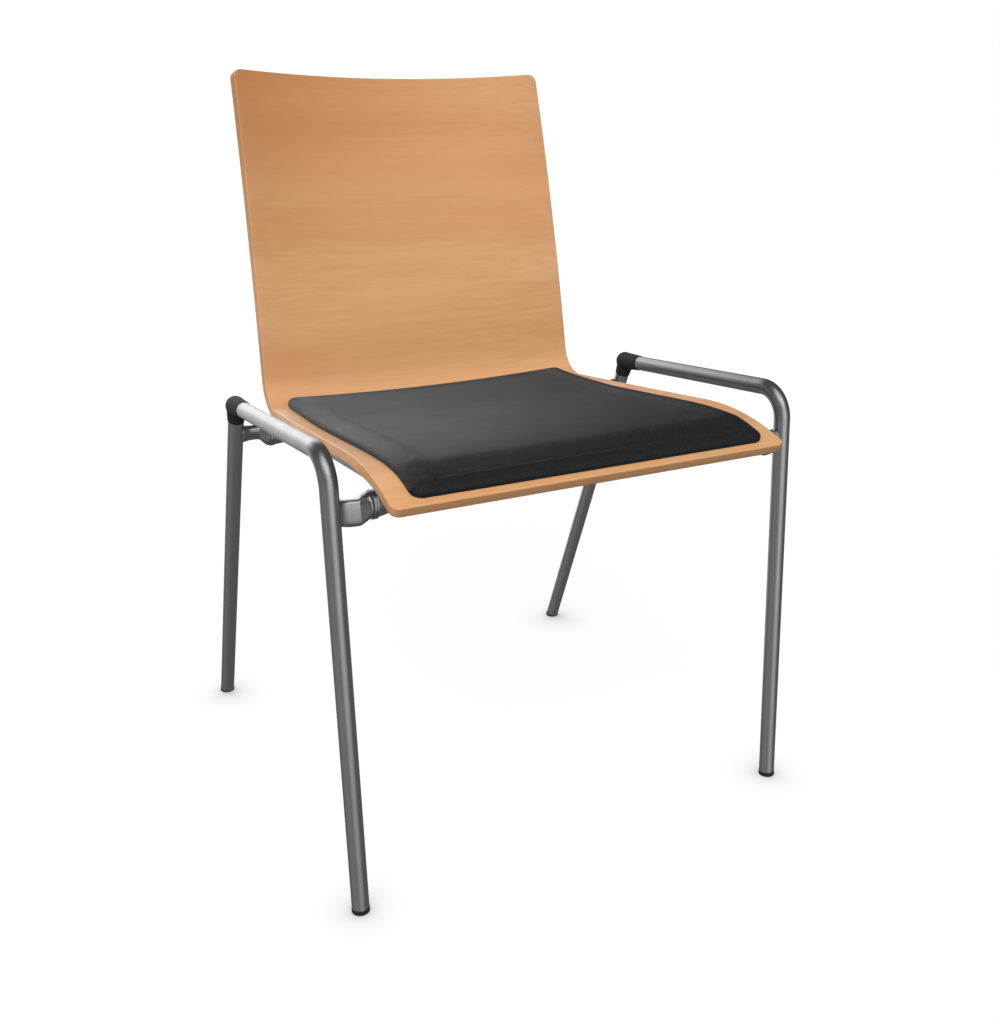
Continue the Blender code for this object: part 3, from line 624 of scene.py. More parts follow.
@dataclass(frozen=True)
class Metal(Finish):
    """Metal with a fine satin finish."""

    color: Color = (0.6, 0.6, 0.61, 1.0)
    shade: float = 0.86
    smooth: float = 0.24
    rough: float = 0.36
    relief: float = 0.00002

    def draw(self, sheet: MaterialSheet) -> None:
        """Fills in the shader: a slightly uneven polish and fine scratches.

        Args:
            sheet: The material's nodes.
        """
        patches = sheet.group(mottle_group(), Scale=45.0, Low=self.shade, High=1.0)
        darker = tuple(channel * self.shade for channel in self.color[:3]) + (1.0,)
        sheet.paint(sheet.mixed(sheet.ranged(patches, self.shade, 1.0, 0.0, 1.0), darker, self.color))
        sheet.polish(scale=70.0, low=self.smooth, high=self.rough)
        sheet.feed(sheet.shader.inputs["Metallic"], 1.0)
        sheet.bump(sheet.noise(scale=900.0, detail=3.0), distance=self.relief, strength=0.4)


@dataclass(frozen=True)
class BlackPlastic(Finish):
    """Moulded black plastic with a fine spark-eroded texture."""

    color: Color = (0.012, 0.012, 0.0125, 1.0)
    worn: Color = (0.024, 0.024, 0.0245, 1.0)

    def draw(self, sheet: MaterialSheet) -> None:
        """Fills in the shader: fine pits and soft rubbed patches.

        Args:
            sheet: The material's nodes.
        """
        share = sheet.group(mottle_group(), Scale=50.0, Low=0.0, High=0.9)
        sheet.paint(sheet.mixed(share, self.color, self.worn))
        sheet.polish(scale=90.0, low=0.55, high=0.7)
        sheet.bump(sheet.noise(scale=1300.0, detail=2.0), distance=0.00006, strength=0.4)


@dataclass(frozen=True)
class PlainBoard(Finish):
    """Bare board inside the pad."""

    light: Color = linear(190, 160, 120)
    dark: Color = linear(158, 126, 88)

    def draw(self, sheet: MaterialSheet) -> None:
        """Fills in the shader: plain streaks.

        Args:
            sheet: The material's nodes.
        """
        lines = sheet.group(streak_group(), Along=6.0, Across=120.0, Detail=3.0)
        sheet.paint(sheet.mixed(lines, self.dark, self.light))
        sheet.polish(scale=40.0, low=0.6, high=0.8)


VENEER = BeechVeneer("beech_veneer")
PLY_EDGE = PlyEdge("ply_edge")
LEATHER = BlackLeather("pad_leather")
SATIN_STEEL = Metal("satin_tube")
CAST_METAL = Metal("cast_arm", color=(0.48, 0.48, 0.485, 1.0), smooth=0.14, rough=0.22)
ZINC = Metal("zinc_plate", (0.56, 0.56, 0.58, 1.0), shade=0.8, smooth=0.3, rough=0.45, relief=0.00003)
PLASTIC = BlackPlastic("black_moulding")
BOARD = PlainBoard("plain_board")


# The chair's layout


@dataclass(frozen=True)
class FrameLayout:
    """Axes of the tubes, in metres, with the chair's middle over the origin."""

    depth_shift: float = DEPTH_SHIFT
    half_width: float = 0.277
    foot_spread: float = 0.5432
    front_rake: float = math.radians(3.6)
    rear_rake: float = math.radians(22.1)
    rail_height: float = 0.4964
    rail_fall: float = math.radians(4.5)
    tube_radius: float = 0.0094
    arm_height: float = 0.4365
    collar_x: float = 0.235
    collar_rise: dict[End, float] = by_end(0.0053, -0.0085)
    seat_rail_x: float = 0.195
    seat_rail_height: float = 0.4332
    seat_rail_middle: float = -0.0267
    seat_rail_fall: float = math.radians(3.2)

    def leg_up(self, end: End) -> Vector:
        """Direction up a leg."""
        rake = self.front_rake if end is End.FRONT else -self.rear_rake
        return Vector((0.0, math.sin(rake), math.cos(rake)))

    def leg_point(self, side: Side, end: End, z: float) -> Vector:
        """Point of a leg's axis at a height over the floor.

        Args:
            side: The side.
            end: The front or the rear.
            z: The height.

        Returns:
            The point.
        """
        y = self.foot_spread / 2 * (-1 if end is End.FRONT else 1)
        foot = Vector((side.value * self.half_width, y + self.depth_shift, 0.0))
        up = self.leg_up(end)
        return foot + up * (z / up.z)

    def frame_corner(self, side: Side) -> Vector:
        """Where the axes of the front leg and the side rail cross."""
        return self.leg_point(side, End.FRONT, self.rail_height)

    def elbow_corner(self, side: Side) -> Vector:
        """Where the axes of the side rail and the rear leg cross.

        Args:
            side: The side.

        Returns:
            The crossing.
        """
        start = self.frame_corner(side)
        foot = self.leg_point(side, End.REAR, 0.0)
        up = self.leg_up(End.REAR)
        fall = math.tan(self.rail_fall)
        z = (start.z - fall * (foot.y - start.y)) / (1 + fall * up.y / up.z)
        return self.leg_point(side, End.REAR, z)

    def collar_centre(self, side: Side, end: End) -> Vector:
        """Middle of a collar."""
        leg = self.leg_point(side, end, self.arm_height)
        return Vector((side.value * self.collar_x, leg.y, self.arm_height + self.collar_rise[end]))

    def seat_rail_corner(self, side: Side, end: End) -> Vector:
        """Where the seat rail's straight run would meet its outward end.

        Args:
            side: The side.
            end: The front or the rear.

        Returns:
            The corner.
        """
        y = self.leg_point(side, end, self.arm_height).y
        run = y - self.depth_shift - self.seat_rail_middle
        z = self.seat_rail_height - math.tan(self.seat_rail_fall) * run
        return Vector((side.value * self.seat_rail_x, y, z))


@dataclass(frozen=True)
class ShellSurface:
    """The sitter's face of the shell, by distance from the nose and place across."""

    nose_y: float = -0.2978
    nose_z: float = 0.4524
    nose_angle: float = math.radians(21.2)
    nose_straight: float = 0.0064
    nose_radius: float = 0.297
    seat_fall: float = math.radians(4.7)
    seat_straight: float = 0.2726
    bend_radius: float = 0.0374
    lean_low: float = math.radians(8.8)
    lean_top: float = math.radians(15.1)
    back_length: float = 0.375
    front_half_width: float = 0.2354
    top_half_width: float = 0.2094
    seat_dish: float = 0.010
    back_dish: float = 0.031
    hollow: float = 0.009
    hollow_power: float = 9.0
    hollow_front: tuple[float, float] = (0.0447, 0.1277)
    hollow_rear: tuple[float, float] = (0.279, 0.433)
    depth_shift: float = DEPTH_SHIFT

    @property
    def stretches(self) -> tuple[tuple[float, float], ...]:
        """Length and turn of each stretch of the side profile.

        Returns:
            The pairs, from the nose to the top edge.
        """
        nose_turn = self.nose_angle + self.seat_fall
        back_turn = math.pi / 2 - self.lean_low + self.seat_fall
        return (
            (self.nose_straight, 0.0),
            (self.nose_radius * nose_turn, -nose_turn),
            (self.seat_straight, 0.0),
            (self.bend_radius * back_turn, back_turn),
            (self.back_length, self.lean_low - self.lean_top),
        )

    @property
    def bend_start(self) -> float:
        """Station where the seat starts to bend up."""
        return sum(length for length, _ in self.stretches[:3])

    @property
    def bend_end(self) -> float:
        """Station where the bend turns into the back."""
        return sum(length for length, _ in self.stretches[:4])

    @property
    def length(self) -> float:
        """Station of the top edge."""
        return sum(length for length, _ in self.stretches)

    def profile(self, station: float) -> tuple[Vector, Vector]:
        """Point and normal of the side profile.

        Args:
            station: Distance from the nose along the profile.

        Returns:
            The point, and the direction from there towards the sitter.
        """
        y, z, heading = self.nose_y + self.depth_shift, self.nose_z, self.nose_angle
        for length, turn in self.stretches:
            run = min(station, length)
            if turn:
                bend = turn / length
                y += (math.sin(heading + bend * run) - math.sin(heading)) / bend
                z -= (math.cos(heading + bend * run) - math.cos(heading)) / bend
                heading += bend * run
            else:
                y += math.cos(heading) * run
                z += math.sin(heading) * run
            station -= run
            if station <= 0:
                break
        return Vector((0.0, y, z)), Vector((0.0, -math.sin(heading), math.cos(heading)))

    def half_width(self, station: float) -> float:
        """Half the shell's width, without its rounded corners."""
        share = station / self.length
        return self.front_half_width * (1 - share) + self.top_half_width * share

    def dish(self, station: float) -> float:
        """Depth by which the shell's middle is hollowed, away from the sitter.

        Args:
            station: Distance from the nose.

        Returns:
            The depth.
        """
        if station < self.bend_end:
            return self.seat_dish * max(station, 0.0) / self.bend_end
        rise = (station - self.bend_end) / self.back_length
        return self.seat_dish + (self.back_dish - self.seat_dish) * rise

    def hollow_depth(self, station: float) -> float:
        """Depth of the seat's flat-bottomed hollow, which stops short of its side edges."""
        (first, full), (last, none) = self.hollow_front, self.hollow_rear
        return self.hollow * ramp(station, first, full) * (1 - ramp(station, last, none))

    def point(self, station: float, x: float, height: float) -> Vector:
        """Point at a height over the sitter's face.

        Args:
            station: Distance from the nose.
            x: Place across the chair.
            height: Height towards the sitter.

        Returns:
            The point.
        """
        point, normal = self.profile(station)
        depth, half = self.dish(station), self.half_width(station)
        hollow, power, share = self.hollow_depth(station), self.hollow_power, abs(x) / half
        sunk = depth * (1 - share**2) + hollow * (1 - share**power)
        slope = math.copysign((2 * depth * share + power * hollow * share ** (power - 1)) / half, x)
        square = (normal - Vector((slope, 0.0, 0.0))).normalized()
        return point - normal * sunk + Vector((x, 0.0, 0.0)) + square * height


@dataclass(frozen=True)
class RoundedPatch:
    """Grid over the shell with a rounded-corner outline that can be set in."""

    surface: ShellSurface
    start: float
    end: float
    margin: Callable[[float], float]
    radius: float
    corner_steps: int
    between: Rows
    across: int
    edge_steps: tuple[float, ...] = (0.0,)

    def rows(self, inset: float) -> list[float]:
        """Stations of the rows, set in from the outline.

        Args:
            inset: How far it is set in from the outline.

        Returns:
            The stations, from the front to the rear.
        """
        turns = spread(0.0, math.pi / 2, self.corner_steps)
        corner = [inset + (self.radius - inset) * (1 - math.cos(turn)) for turn in turns]
        rows = [self.start + step for step in corner]
        for station, count in (*self.between, (self.end - self.radius, self.between[-1][1])):
            rows += spread(rows[-1], station, count)[1:]
        return rows + [self.end - step for step in corner[-2::-1]]

    def columns(self, station: float, inset: float) -> list[float]:
        """Places across at a station, set in from the outline.

        Args:
            station: The row's station.
            inset: How far it is set in from the outline.

        Returns:
            The places, from left to right.
        """
        near = min(station - self.start, self.end - station)
        radius = self.radius - inset
        short = min(max(self.radius - near, 0.0), radius)
        cut = radius - math.sqrt(radius**2 - short**2)
        half = self.surface.half_width(station) - self.margin(station) - inset - cut
        last = self.edge_steps[-1]
        inner = spread(last - half, half - last, self.across)[1:-1]
        left = [step - half for step in self.edge_steps]
        return left + inner + [-x for x in reversed(left)]

    def points(self, inset: float, height: Height) -> list[list[Vector]]:
        """Grid of points at a height, which is a function of station and x.

        Args:
            inset: How far it is set in from the outline.
            height: Its height over the shell.

        Returns:
            The points, row by row.
        """
        return [
            [self.surface.point(station, x, height(station, x)) for x in self.columns(station, inset)]
            for station in self.rows(inset)
        ]

    def sheet(self, bm: BMesh, inset: float, height: Height) -> list[BMVert]:
        """Adds the grid to a mesh.

        Args:
            bm: The mesh.
            inset: How far the grid is set in from the outline.
            height: Its height over the shell.

        Returns:
            The grid's vertices, row by row.
        """
        points = self.points(inset, height)
        made = bmesh.ops.create_grid(bm, x_segments=len(points[0]) - 1, y_segments=len(points) - 1, size=1.0)
        ordered = sorted(made["verts"], key=lambda vert: (round(vert.co.y, 6), round(vert.co.x, 6)))
        for vert, point in zip(ordered, (point for row in points for point in row)):
            vert.co = point
        return ordered

    def rim(self, bm: BMesh, inset: float, height: Height) -> list[BMVert]:
        """Adds only the outline to a mesh, as a closed loop of edges.

        Args:
            bm: The mesh.
            inset: How far the loop is set in.
            height: Its height over the shell.

        Returns:
            The loop's vertices.
        """
        points = self.points(inset, height)
        loop = points[0] + [row[-1] for row in points[1:]] + points[-1][-2::-1]
        loop += [row[0] for row in points[-2:0:-1]]
        verts = [bm.verts.new(point) for point in loop]
        for first, second in zip(verts, verts[1:] + verts[:1]):
            bm.edges.new((first, second))
        return verts


def loop_edges(verts: Sequence[BMVert]) -> list[BMEdge]:
    """The open edges among some vertices.

    Args:
        verts: The vertices of a grid or a loop.

    Returns:
        The edges with at most one face.
    """
    edges = {edge for vert in verts for edge in vert.link_edges}
    kept = set(verts)
    return [edge for edge in edges if len(edge.link_faces) < 2 and kept.issuperset(edge.verts)]


# Sub-assemblies


@dataclass
class SeatShell:
    """Moulded plywood seat and back in one piece."""

    surface: ShellSurface
    thickness: float = 0.011
    edge_radius: float = 0.0014
    corner_radius: float = 0.010
    edge_steps: int = 5
    corner_steps: int = 10
    rows: tuple[int, int, int] = (18, 34, 28)
    across: int = 48

    def build(self) -> None:
        """Models and dresses the shell."""
        surface = self.surface
        stations = (surface.bend_start - surface.seat_straight, surface.bend_start, surface.bend_end)
        patch = RoundedPatch(
            surface,
            0.0,
            surface.length,
            lambda station: 0.0,
            self.corner_radius,
            self.corner_steps,
            tuple(zip(stations, self.rows)),
            self.across,
        )
        bm = bmesh.new()
        depth = bm.verts.layers.float.new("ply_depth")
        loops = []
        for inset, height in self.rim_steps():
            whole = not loops or height == -self.thickness
            make = patch.sheet if whole else patch.rim
            verts = make(bm, inset, lambda station, x, level=height: level)
            for vert in verts:
                vert[depth] = -height / self.thickness
            loops.append(loop_edges(verts))
        for first, second in zip(loops, loops[1:]):
            for face in bmesh.ops.bridge_loops(bm, edges=first + second)["faces"]:
                face.material_index = 1
        shell = make_object(bm, "plywood_shell")
        shell.visible_glossy = False
        dress(shell, (VENEER, PLY_EDGE), ("seat_shell",))

    def rim_steps(self) -> list[tuple[float, float]]:
        """Inset and height of each loop round the edge, from the sitter's face to the lower face.

        Returns:
            The pairs, in order.
        """
        radius = self.edge_radius
        turns = spread(0.0, math.pi / 2, self.edge_steps)
        upper = [(radius * (1 - math.sin(turn)), -radius * (1 - math.cos(turn))) for turn in turns]
        lower = [(inset, -self.thickness - height) for inset, height in reversed(upper)]
        return upper + lower


@dataclass
class SeatPad:
    """Thin upholstered pad on the seat."""

    surface: ShellSurface
    side_margin: float = 0.0215
    nose_margin: float = 0.0240
    front_margin: float = 0.0096
    rear_margin: float = 0.0302
    corner_radius: float = 0.012
    lift: float = 0.0003
    edge_height: float = 0.0034
    height: float = 0.0108
    crown: float = 0.0005
    roll: float = 0.017
    roll_power: float = 2.0
    ridge: float = 0.0021
    ridge_place: float = 0.022
    ridge_width: float = 0.010
    bead: float = 0.0007
    bead_place: float = 0.0135
    bead_width: float = 0.0011
    swell: float = 0.0008
    frames: int = 20
    pressure: float = 4.0
    corner_steps: int = 18
    rows: Rows = ((0.018, 10), (0.05, 10))
    across: int = 66
    roll_steps: tuple[float, ...] = (0.0, 0.03, 0.08, 0.15, 0.25, 0.38, 0.55, 0.76, 1.0)
    board_inset: float = 0.022
    board_thickness: float = 0.003
    board_corner_steps: int = 12
    board_rows: Rows = ((0.08, 8),)
    board_across: int = 30
    screw_x: float = 0.12
    screw_setback: dict[End, float] = by_end(0.1085, 0.099)
    screw_radius: float = 0.002
    screw_point: float = 0.0015
    screw_head_radius: float = 0.004
    screw_head_height: float = 0.0022
    screw_taper: float = 0.6
    screw_grip: float = 0.8
    screw_sides: int = 24

    @property
    def start(self) -> float:
        """Station of the front edge."""
        return self.front_margin

    @property
    def end(self) -> float:
        """Station of the rear edge."""
        return self.surface.bend_end - self.rear_margin

    def patch(
        self, corner: float, corner_steps: int, rows: Rows, across: int, edge_steps: Sequence[float] = (0.0,)
    ) -> RoundedPatch:
        """Grid over the pad's outline.

        Args:
            corner: The corners' radius.
            corner_steps: How many rows each corner has.
            rows: Distance from the front edge, and number of the rows up to there.
            across: How many columns there are.
            edge_steps: Distances of the outer columns from the sides.

        Returns:
            The grid.
        """
        surface, start, end = self.surface, self.start, self.end
        between = tuple((start + step, count) for step, count in rows)
        return RoundedPatch(
            surface, start, end, self.margin, corner, corner_steps, between, across, tuple(edge_steps)
        )

    def build(self) -> None:
        """Models, swells and dresses the pad."""
        roll = tuple(self.roll * share for share in self.roll_steps)
        patch = self.patch(self.corner_radius, self.corner_steps, self.rows, self.across, roll)
        bm = bmesh.new()
        held = bm.verts.layers.deform.verify()
        under = patch.sheet(bm, 0.0, lambda station, x: self.lift)
        upper = patch.sheet(bm, 0.0, self.top)
        rim = loop_edges(upper)
        for vert in under + [vert for edge in rim for vert in edge.verts]:
            vert[held][0] = 1.0
        bmesh.ops.bridge_loops(bm, edges=loop_edges(under) + rim)
        pad = make_object(bm, "leather_pad")
        pad.vertex_groups.new(name="held")
        self.inflate(pad)
        finer = pad.modifiers.new("finer", "SUBSURF")
        finer.levels = finer.render_levels = 1
        dress(pad, (LEATHER,), ("seat_pad",))

    def build_board(self) -> None:
        """Models and dresses the board inside the pad."""
        corner = self.corner_radius + self.board_inset
        patch = self.patch(corner, self.board_corner_steps, self.board_rows, self.board_across)
        bm = bmesh.new()
        edges = []
        for level in (self.lift * 2, self.lift * 2 + self.board_thickness):
            edges += loop_edges(patch.sheet(bm, self.board_inset, lambda station, x, flat=level: flat))
        bmesh.ops.bridge_loops(bm, edges=edges)
        dress(make_object(bm, "stiff_board"), (BOARD,), ("pad_board",))

    def build_screws(self, thickness: float) -> None:
        """Models the screws that hold the pad from under the shell.

        Args:
            thickness: The shell's thickness.
        """
        shank, head, cap = self.screw_radius, self.screw_head_radius, self.screw_head_height
        taper = self.screw_taper
        tip = thickness + 2 * self.lift + self.screw_grip * self.board_thickness
        profile = [(0.0, tip), (shank * taper, tip), (shank, tip - self.screw_point), (shank, 0.0)]
        profile += [(head, 0.0), (head, -cap / 3), (head * taper, -cap), (0.0, -cap)]
        front = self.start + self.screw_setback[End.FRONT]
        rear = self.end - self.screw_setback[End.REAR]
        for side in Side:
            x = side.value * self.screw_x
            for end, station in ((End.FRONT, front), (End.REAR, rear)):
                below = self.surface.point(station, x, -thickness)
                way = self.surface.point(station, x, 0.0) - below
                name = f"{end.value}_{side.label}"
                solid = turned(profile, aimed(below, way.normalized()), self.screw_sides)
                screw = make_object(solid, f"board_screw_{name}")
                dress(screw, (ZINC,), (f"pad_screw_{name}",))

    def margin(self, station: float) -> float:
        """Width of bare wood beside the pad, which grows a little towards the nose."""
        forward = 1 - station / self.surface.bend_end
        return self.side_margin + (self.nose_margin - self.side_margin) * forward

    def half_width(self, station: float) -> float:
        """Half the pad's width, without its rounded corners."""
        return self.surface.half_width(station) - self.margin(station)

    def edge_distance(self, station: float, x: float) -> float:
        """Distance of a point from the pad's outline.

        Args:
            station: The point's station.
            x: The point's place across.

        Returns:
            The distance.
        """
        ends = min(station - self.start, self.end - station)
        side = self.half_width(station) - abs(x)
        radius = self.corner_radius
        if ends < radius and side < radius:
            return radius - math.hypot(radius - ends, radius - side)
        return min(ends, side)

    def top(self, station: float, x: float) -> float:
        """Height of the pad's upper face over the shell.

        Args:
            station: The point's station.
            x: The point's place across.

        Returns:
            The height.
        """
        share = min(max(self.edge_distance(station, x), 0.0) / self.roll, 1.0)
        rolled = (1 - (1 - share) ** self.roll_power) ** (1 / self.roll_power)
        rise = (self.height - self.edge_height) * rolled
        along = math.sin(math.pi * min(max((station - self.start) / (self.end - self.start), 0.0), 1.0))
        half = self.half_width(station)
        crown = self.crown * along * max(1 - (x / half) ** 2, 0.0)
        inside = (half - abs(x) - self.ridge_place) / self.ridge_width
        behind = (station - self.start - self.bead_place) / self.bead_width
        soft = self.ridge * math.exp(-(inside**2)) + self.bead * math.exp(-(behind**2))
        return self.edge_height + rise + crown + soft * share

    def inflate(self, pad: Object) -> None:
        """Swells the pad's cover with a cloth simulation, and keeps a part of it.

        Args:
            pad: The pad, whose held group stays in place.
        """
        scene = bpy.context.scene
        before = [vert.co.copy() for vert in pad.data.vertices]
        cloth = pad.modifiers.new("cover", "CLOTH")
        cloth.settings.quality = 6
        cloth.settings.use_pressure = True
        cloth.settings.uniform_pressure_force = self.pressure
        cloth.settings.vertex_group_mass = "held"
        cloth.settings.effector_weights.gravity = 0.0
        cloth.point_cache.frame_start = 1
        cloth.point_cache.frame_end = self.frames
        for frame in range(1, self.frames + 1):
            scene.frame_set(frame)
        graph = bpy.context.evaluated_depsgraph_get()
        after = [vert.co.copy() for vert in pad.evaluated_get(graph).data.vertices]
        pad.modifiers.remove(cloth)
        scene.frame_set(1)
        moves = [end - start for start, end in zip(before, after)]
        most = max(move.length for move in moves)
        LOG.info("leather_pad: the cover moved %.1f mm at most", 1000 * most)
        share = min(self.swell / max(most, 1e-9), 1.0)
        for vert, start, move in zip(pad.data.vertices, before, moves):
            vert.co = start + move * share
        pad.data.update()


@dataclass
class SideFrame:
    """Bent tube of the front leg and rail, rear leg, elbow and glides of one side."""

    layout: FrameLayout
    side: Side
    bend_radius: float = 0.034
    elbow_radius: float = 0.0120
    elbow_start: float = 0.0117
    elbow_end: float = 0.0101
    elbow_rail: float = 0.035
    elbow_leg: float = 0.0210
    elbow_overhang: float = 0.003
    glide_height: float = 0.0055
    glide_rim: float = 0.0003
    glide_gap: float = 0.0003
    glide_edge: float = 0.0009
    glide_neck: float = 0.0025
    glide_stem: float = 0.006
    glide_spare: float = 1.2
    glide_round: tuple[float, float, float] = (0.3, 0.4, 1.6)
    frame_bend_steps: int = 24
    voxel: float = 0.0006
    smoothing: int = 6

    def build(self) -> None:
        """Models and dresses every piece of this side."""
        self.build_front_tube()
        self.build_rear_leg()
        self.build_elbow()
        for end in End:
            self.build_glide(end)

    def leg_foot(self, end: End) -> Vector:
        """Where a leg's tube ends over its glide."""
        foot = self.layout.leg_point(self.side, end, 0.0)
        return foot + self.layout.leg_up(end) * self.glide_height

    def build_front_tube(self) -> None:
        """Front leg and side rail in one bent tube."""
        layout, side = self.layout, self.side
        corner, elbow = layout.frame_corner(side), layout.elbow_corner(side)
        end = elbow + (corner - elbow).normalized() * self.elbow_radius
        corners = (self.leg_foot(End.FRONT), corner, end)
        name, radius = f"front_tube_{side.label}", layout.tube_radius
        tube = bent_tube(name, corners, radius, self.bend_radius, self.frame_bend_steps)
        dress(tube, (SATIN_STEEL,), (f"side_frame_{side.label}",))

    def build_rear_leg(self) -> None:
        """Straight rear leg."""
        layout, side = self.layout, self.side
        end = layout.elbow_corner(side) - layout.leg_up(End.REAR) * self.elbow_radius
        corners = (self.leg_foot(End.REAR), end)
        leg = bent_tube(f"rear_tube_{side.label}", corners, layout.tube_radius)
        dress(leg, (SATIN_STEEL,), (f"rear_leg_{side.label}",))

    def build_elbow(self) -> None:
        """Moulded elbow, its ball and two sleeves fused into one soft shape."""
        layout, side = self.layout, self.side
        corner = layout.elbow_corner(side)
        bm = bmesh.new()
        along = (layout.frame_corner(side) - corner).normalized()
        knuckle = Matrix.Translation(corner - along * self.elbow_overhang)
        bmesh.ops.create_uvsphere(bm, u_segments=48, v_segments=32, radius=self.elbow_radius, matrix=knuckle)
        ways = ((along, self.elbow_rail), (-layout.leg_up(End.REAR), self.elbow_leg))
        for way, length in ways:
            bmesh.ops.create_cone(
                bm,
                cap_ends=True,
                segments=FINE_SIDES,
                radius1=self.elbow_start,
                radius2=self.elbow_end,
                depth=length,
                matrix=aimed(corner + way * length / 2, way),
            )
        elbow = make_object(bm, f"moulded_elbow_{side.label}")
        fuse = elbow.modifiers.new("fuse", "REMESH")
        fuse.mode = "VOXEL"
        fuse.voxel_size = self.voxel
        settle_modifiers(elbow)
        bm = bmesh.new()
        bm.from_mesh(elbow.data)
        for _ in range(self.smoothing):
            bmesh.ops.smooth_vert(
                bm, verts=bm.verts, factor=0.5, use_axis_x=True, use_axis_y=True, use_axis_z=True
            )
        bm.to_mesh(elbow.data)
        bm.free()
        elbow.data.shade_smooth()
        dress(elbow, (PLASTIC,), (f"elbow_{side.label}",))

    def build_glide(self, end: End) -> None:
        """Glide under a leg, cut level with the floor.

        Args:
            end: The front or the rear one.
        """
        layout, side = self.layout, self.side
        head, gap, soft = layout.tube_radius + self.glide_rim, self.glide_gap, self.glide_edge
        top, neck = self.glide_height - gap, head - self.glide_neck
        rake = layout.front_rake if end is End.FRONT else layout.rear_rake
        stem, below = top + self.glide_stem, self.glide_spare * head * math.tan(rake)
        profile = [(0.0, stem), (neck, stem), (neck, top), (head - gap, top)]
        inner, rise, under = self.glide_round
        profile += [(head, top - gap), (head, soft), (head - inner * soft, rise * soft)]
        profile += [(head - soft, 0.0), (head - under * soft, -below), (0.0, -below)]
        place = aimed(layout.leg_point(side, end, 0.0), layout.leg_up(end))
        bm = turned(profile, place)
        bmesh.ops.bisect_plane(
            bm,
            geom=bm.verts[:] + bm.edges[:] + bm.faces[:],
            dist=1e-7,
            plane_co=(0.0, 0.0, 0.0),
            plane_no=(0.0, 0.0, 1.0),
            clear_inner=True,
        )
        bmesh.ops.holes_fill(bm, edges=[edge for edge in bm.edges if edge.is_boundary], sides=0)
        glide = make_object(bm, f"{end.value}_glide_{side.label}")
        dress(glide, (PLASTIC,), (f"glide_{end.value}_{side.label}",))


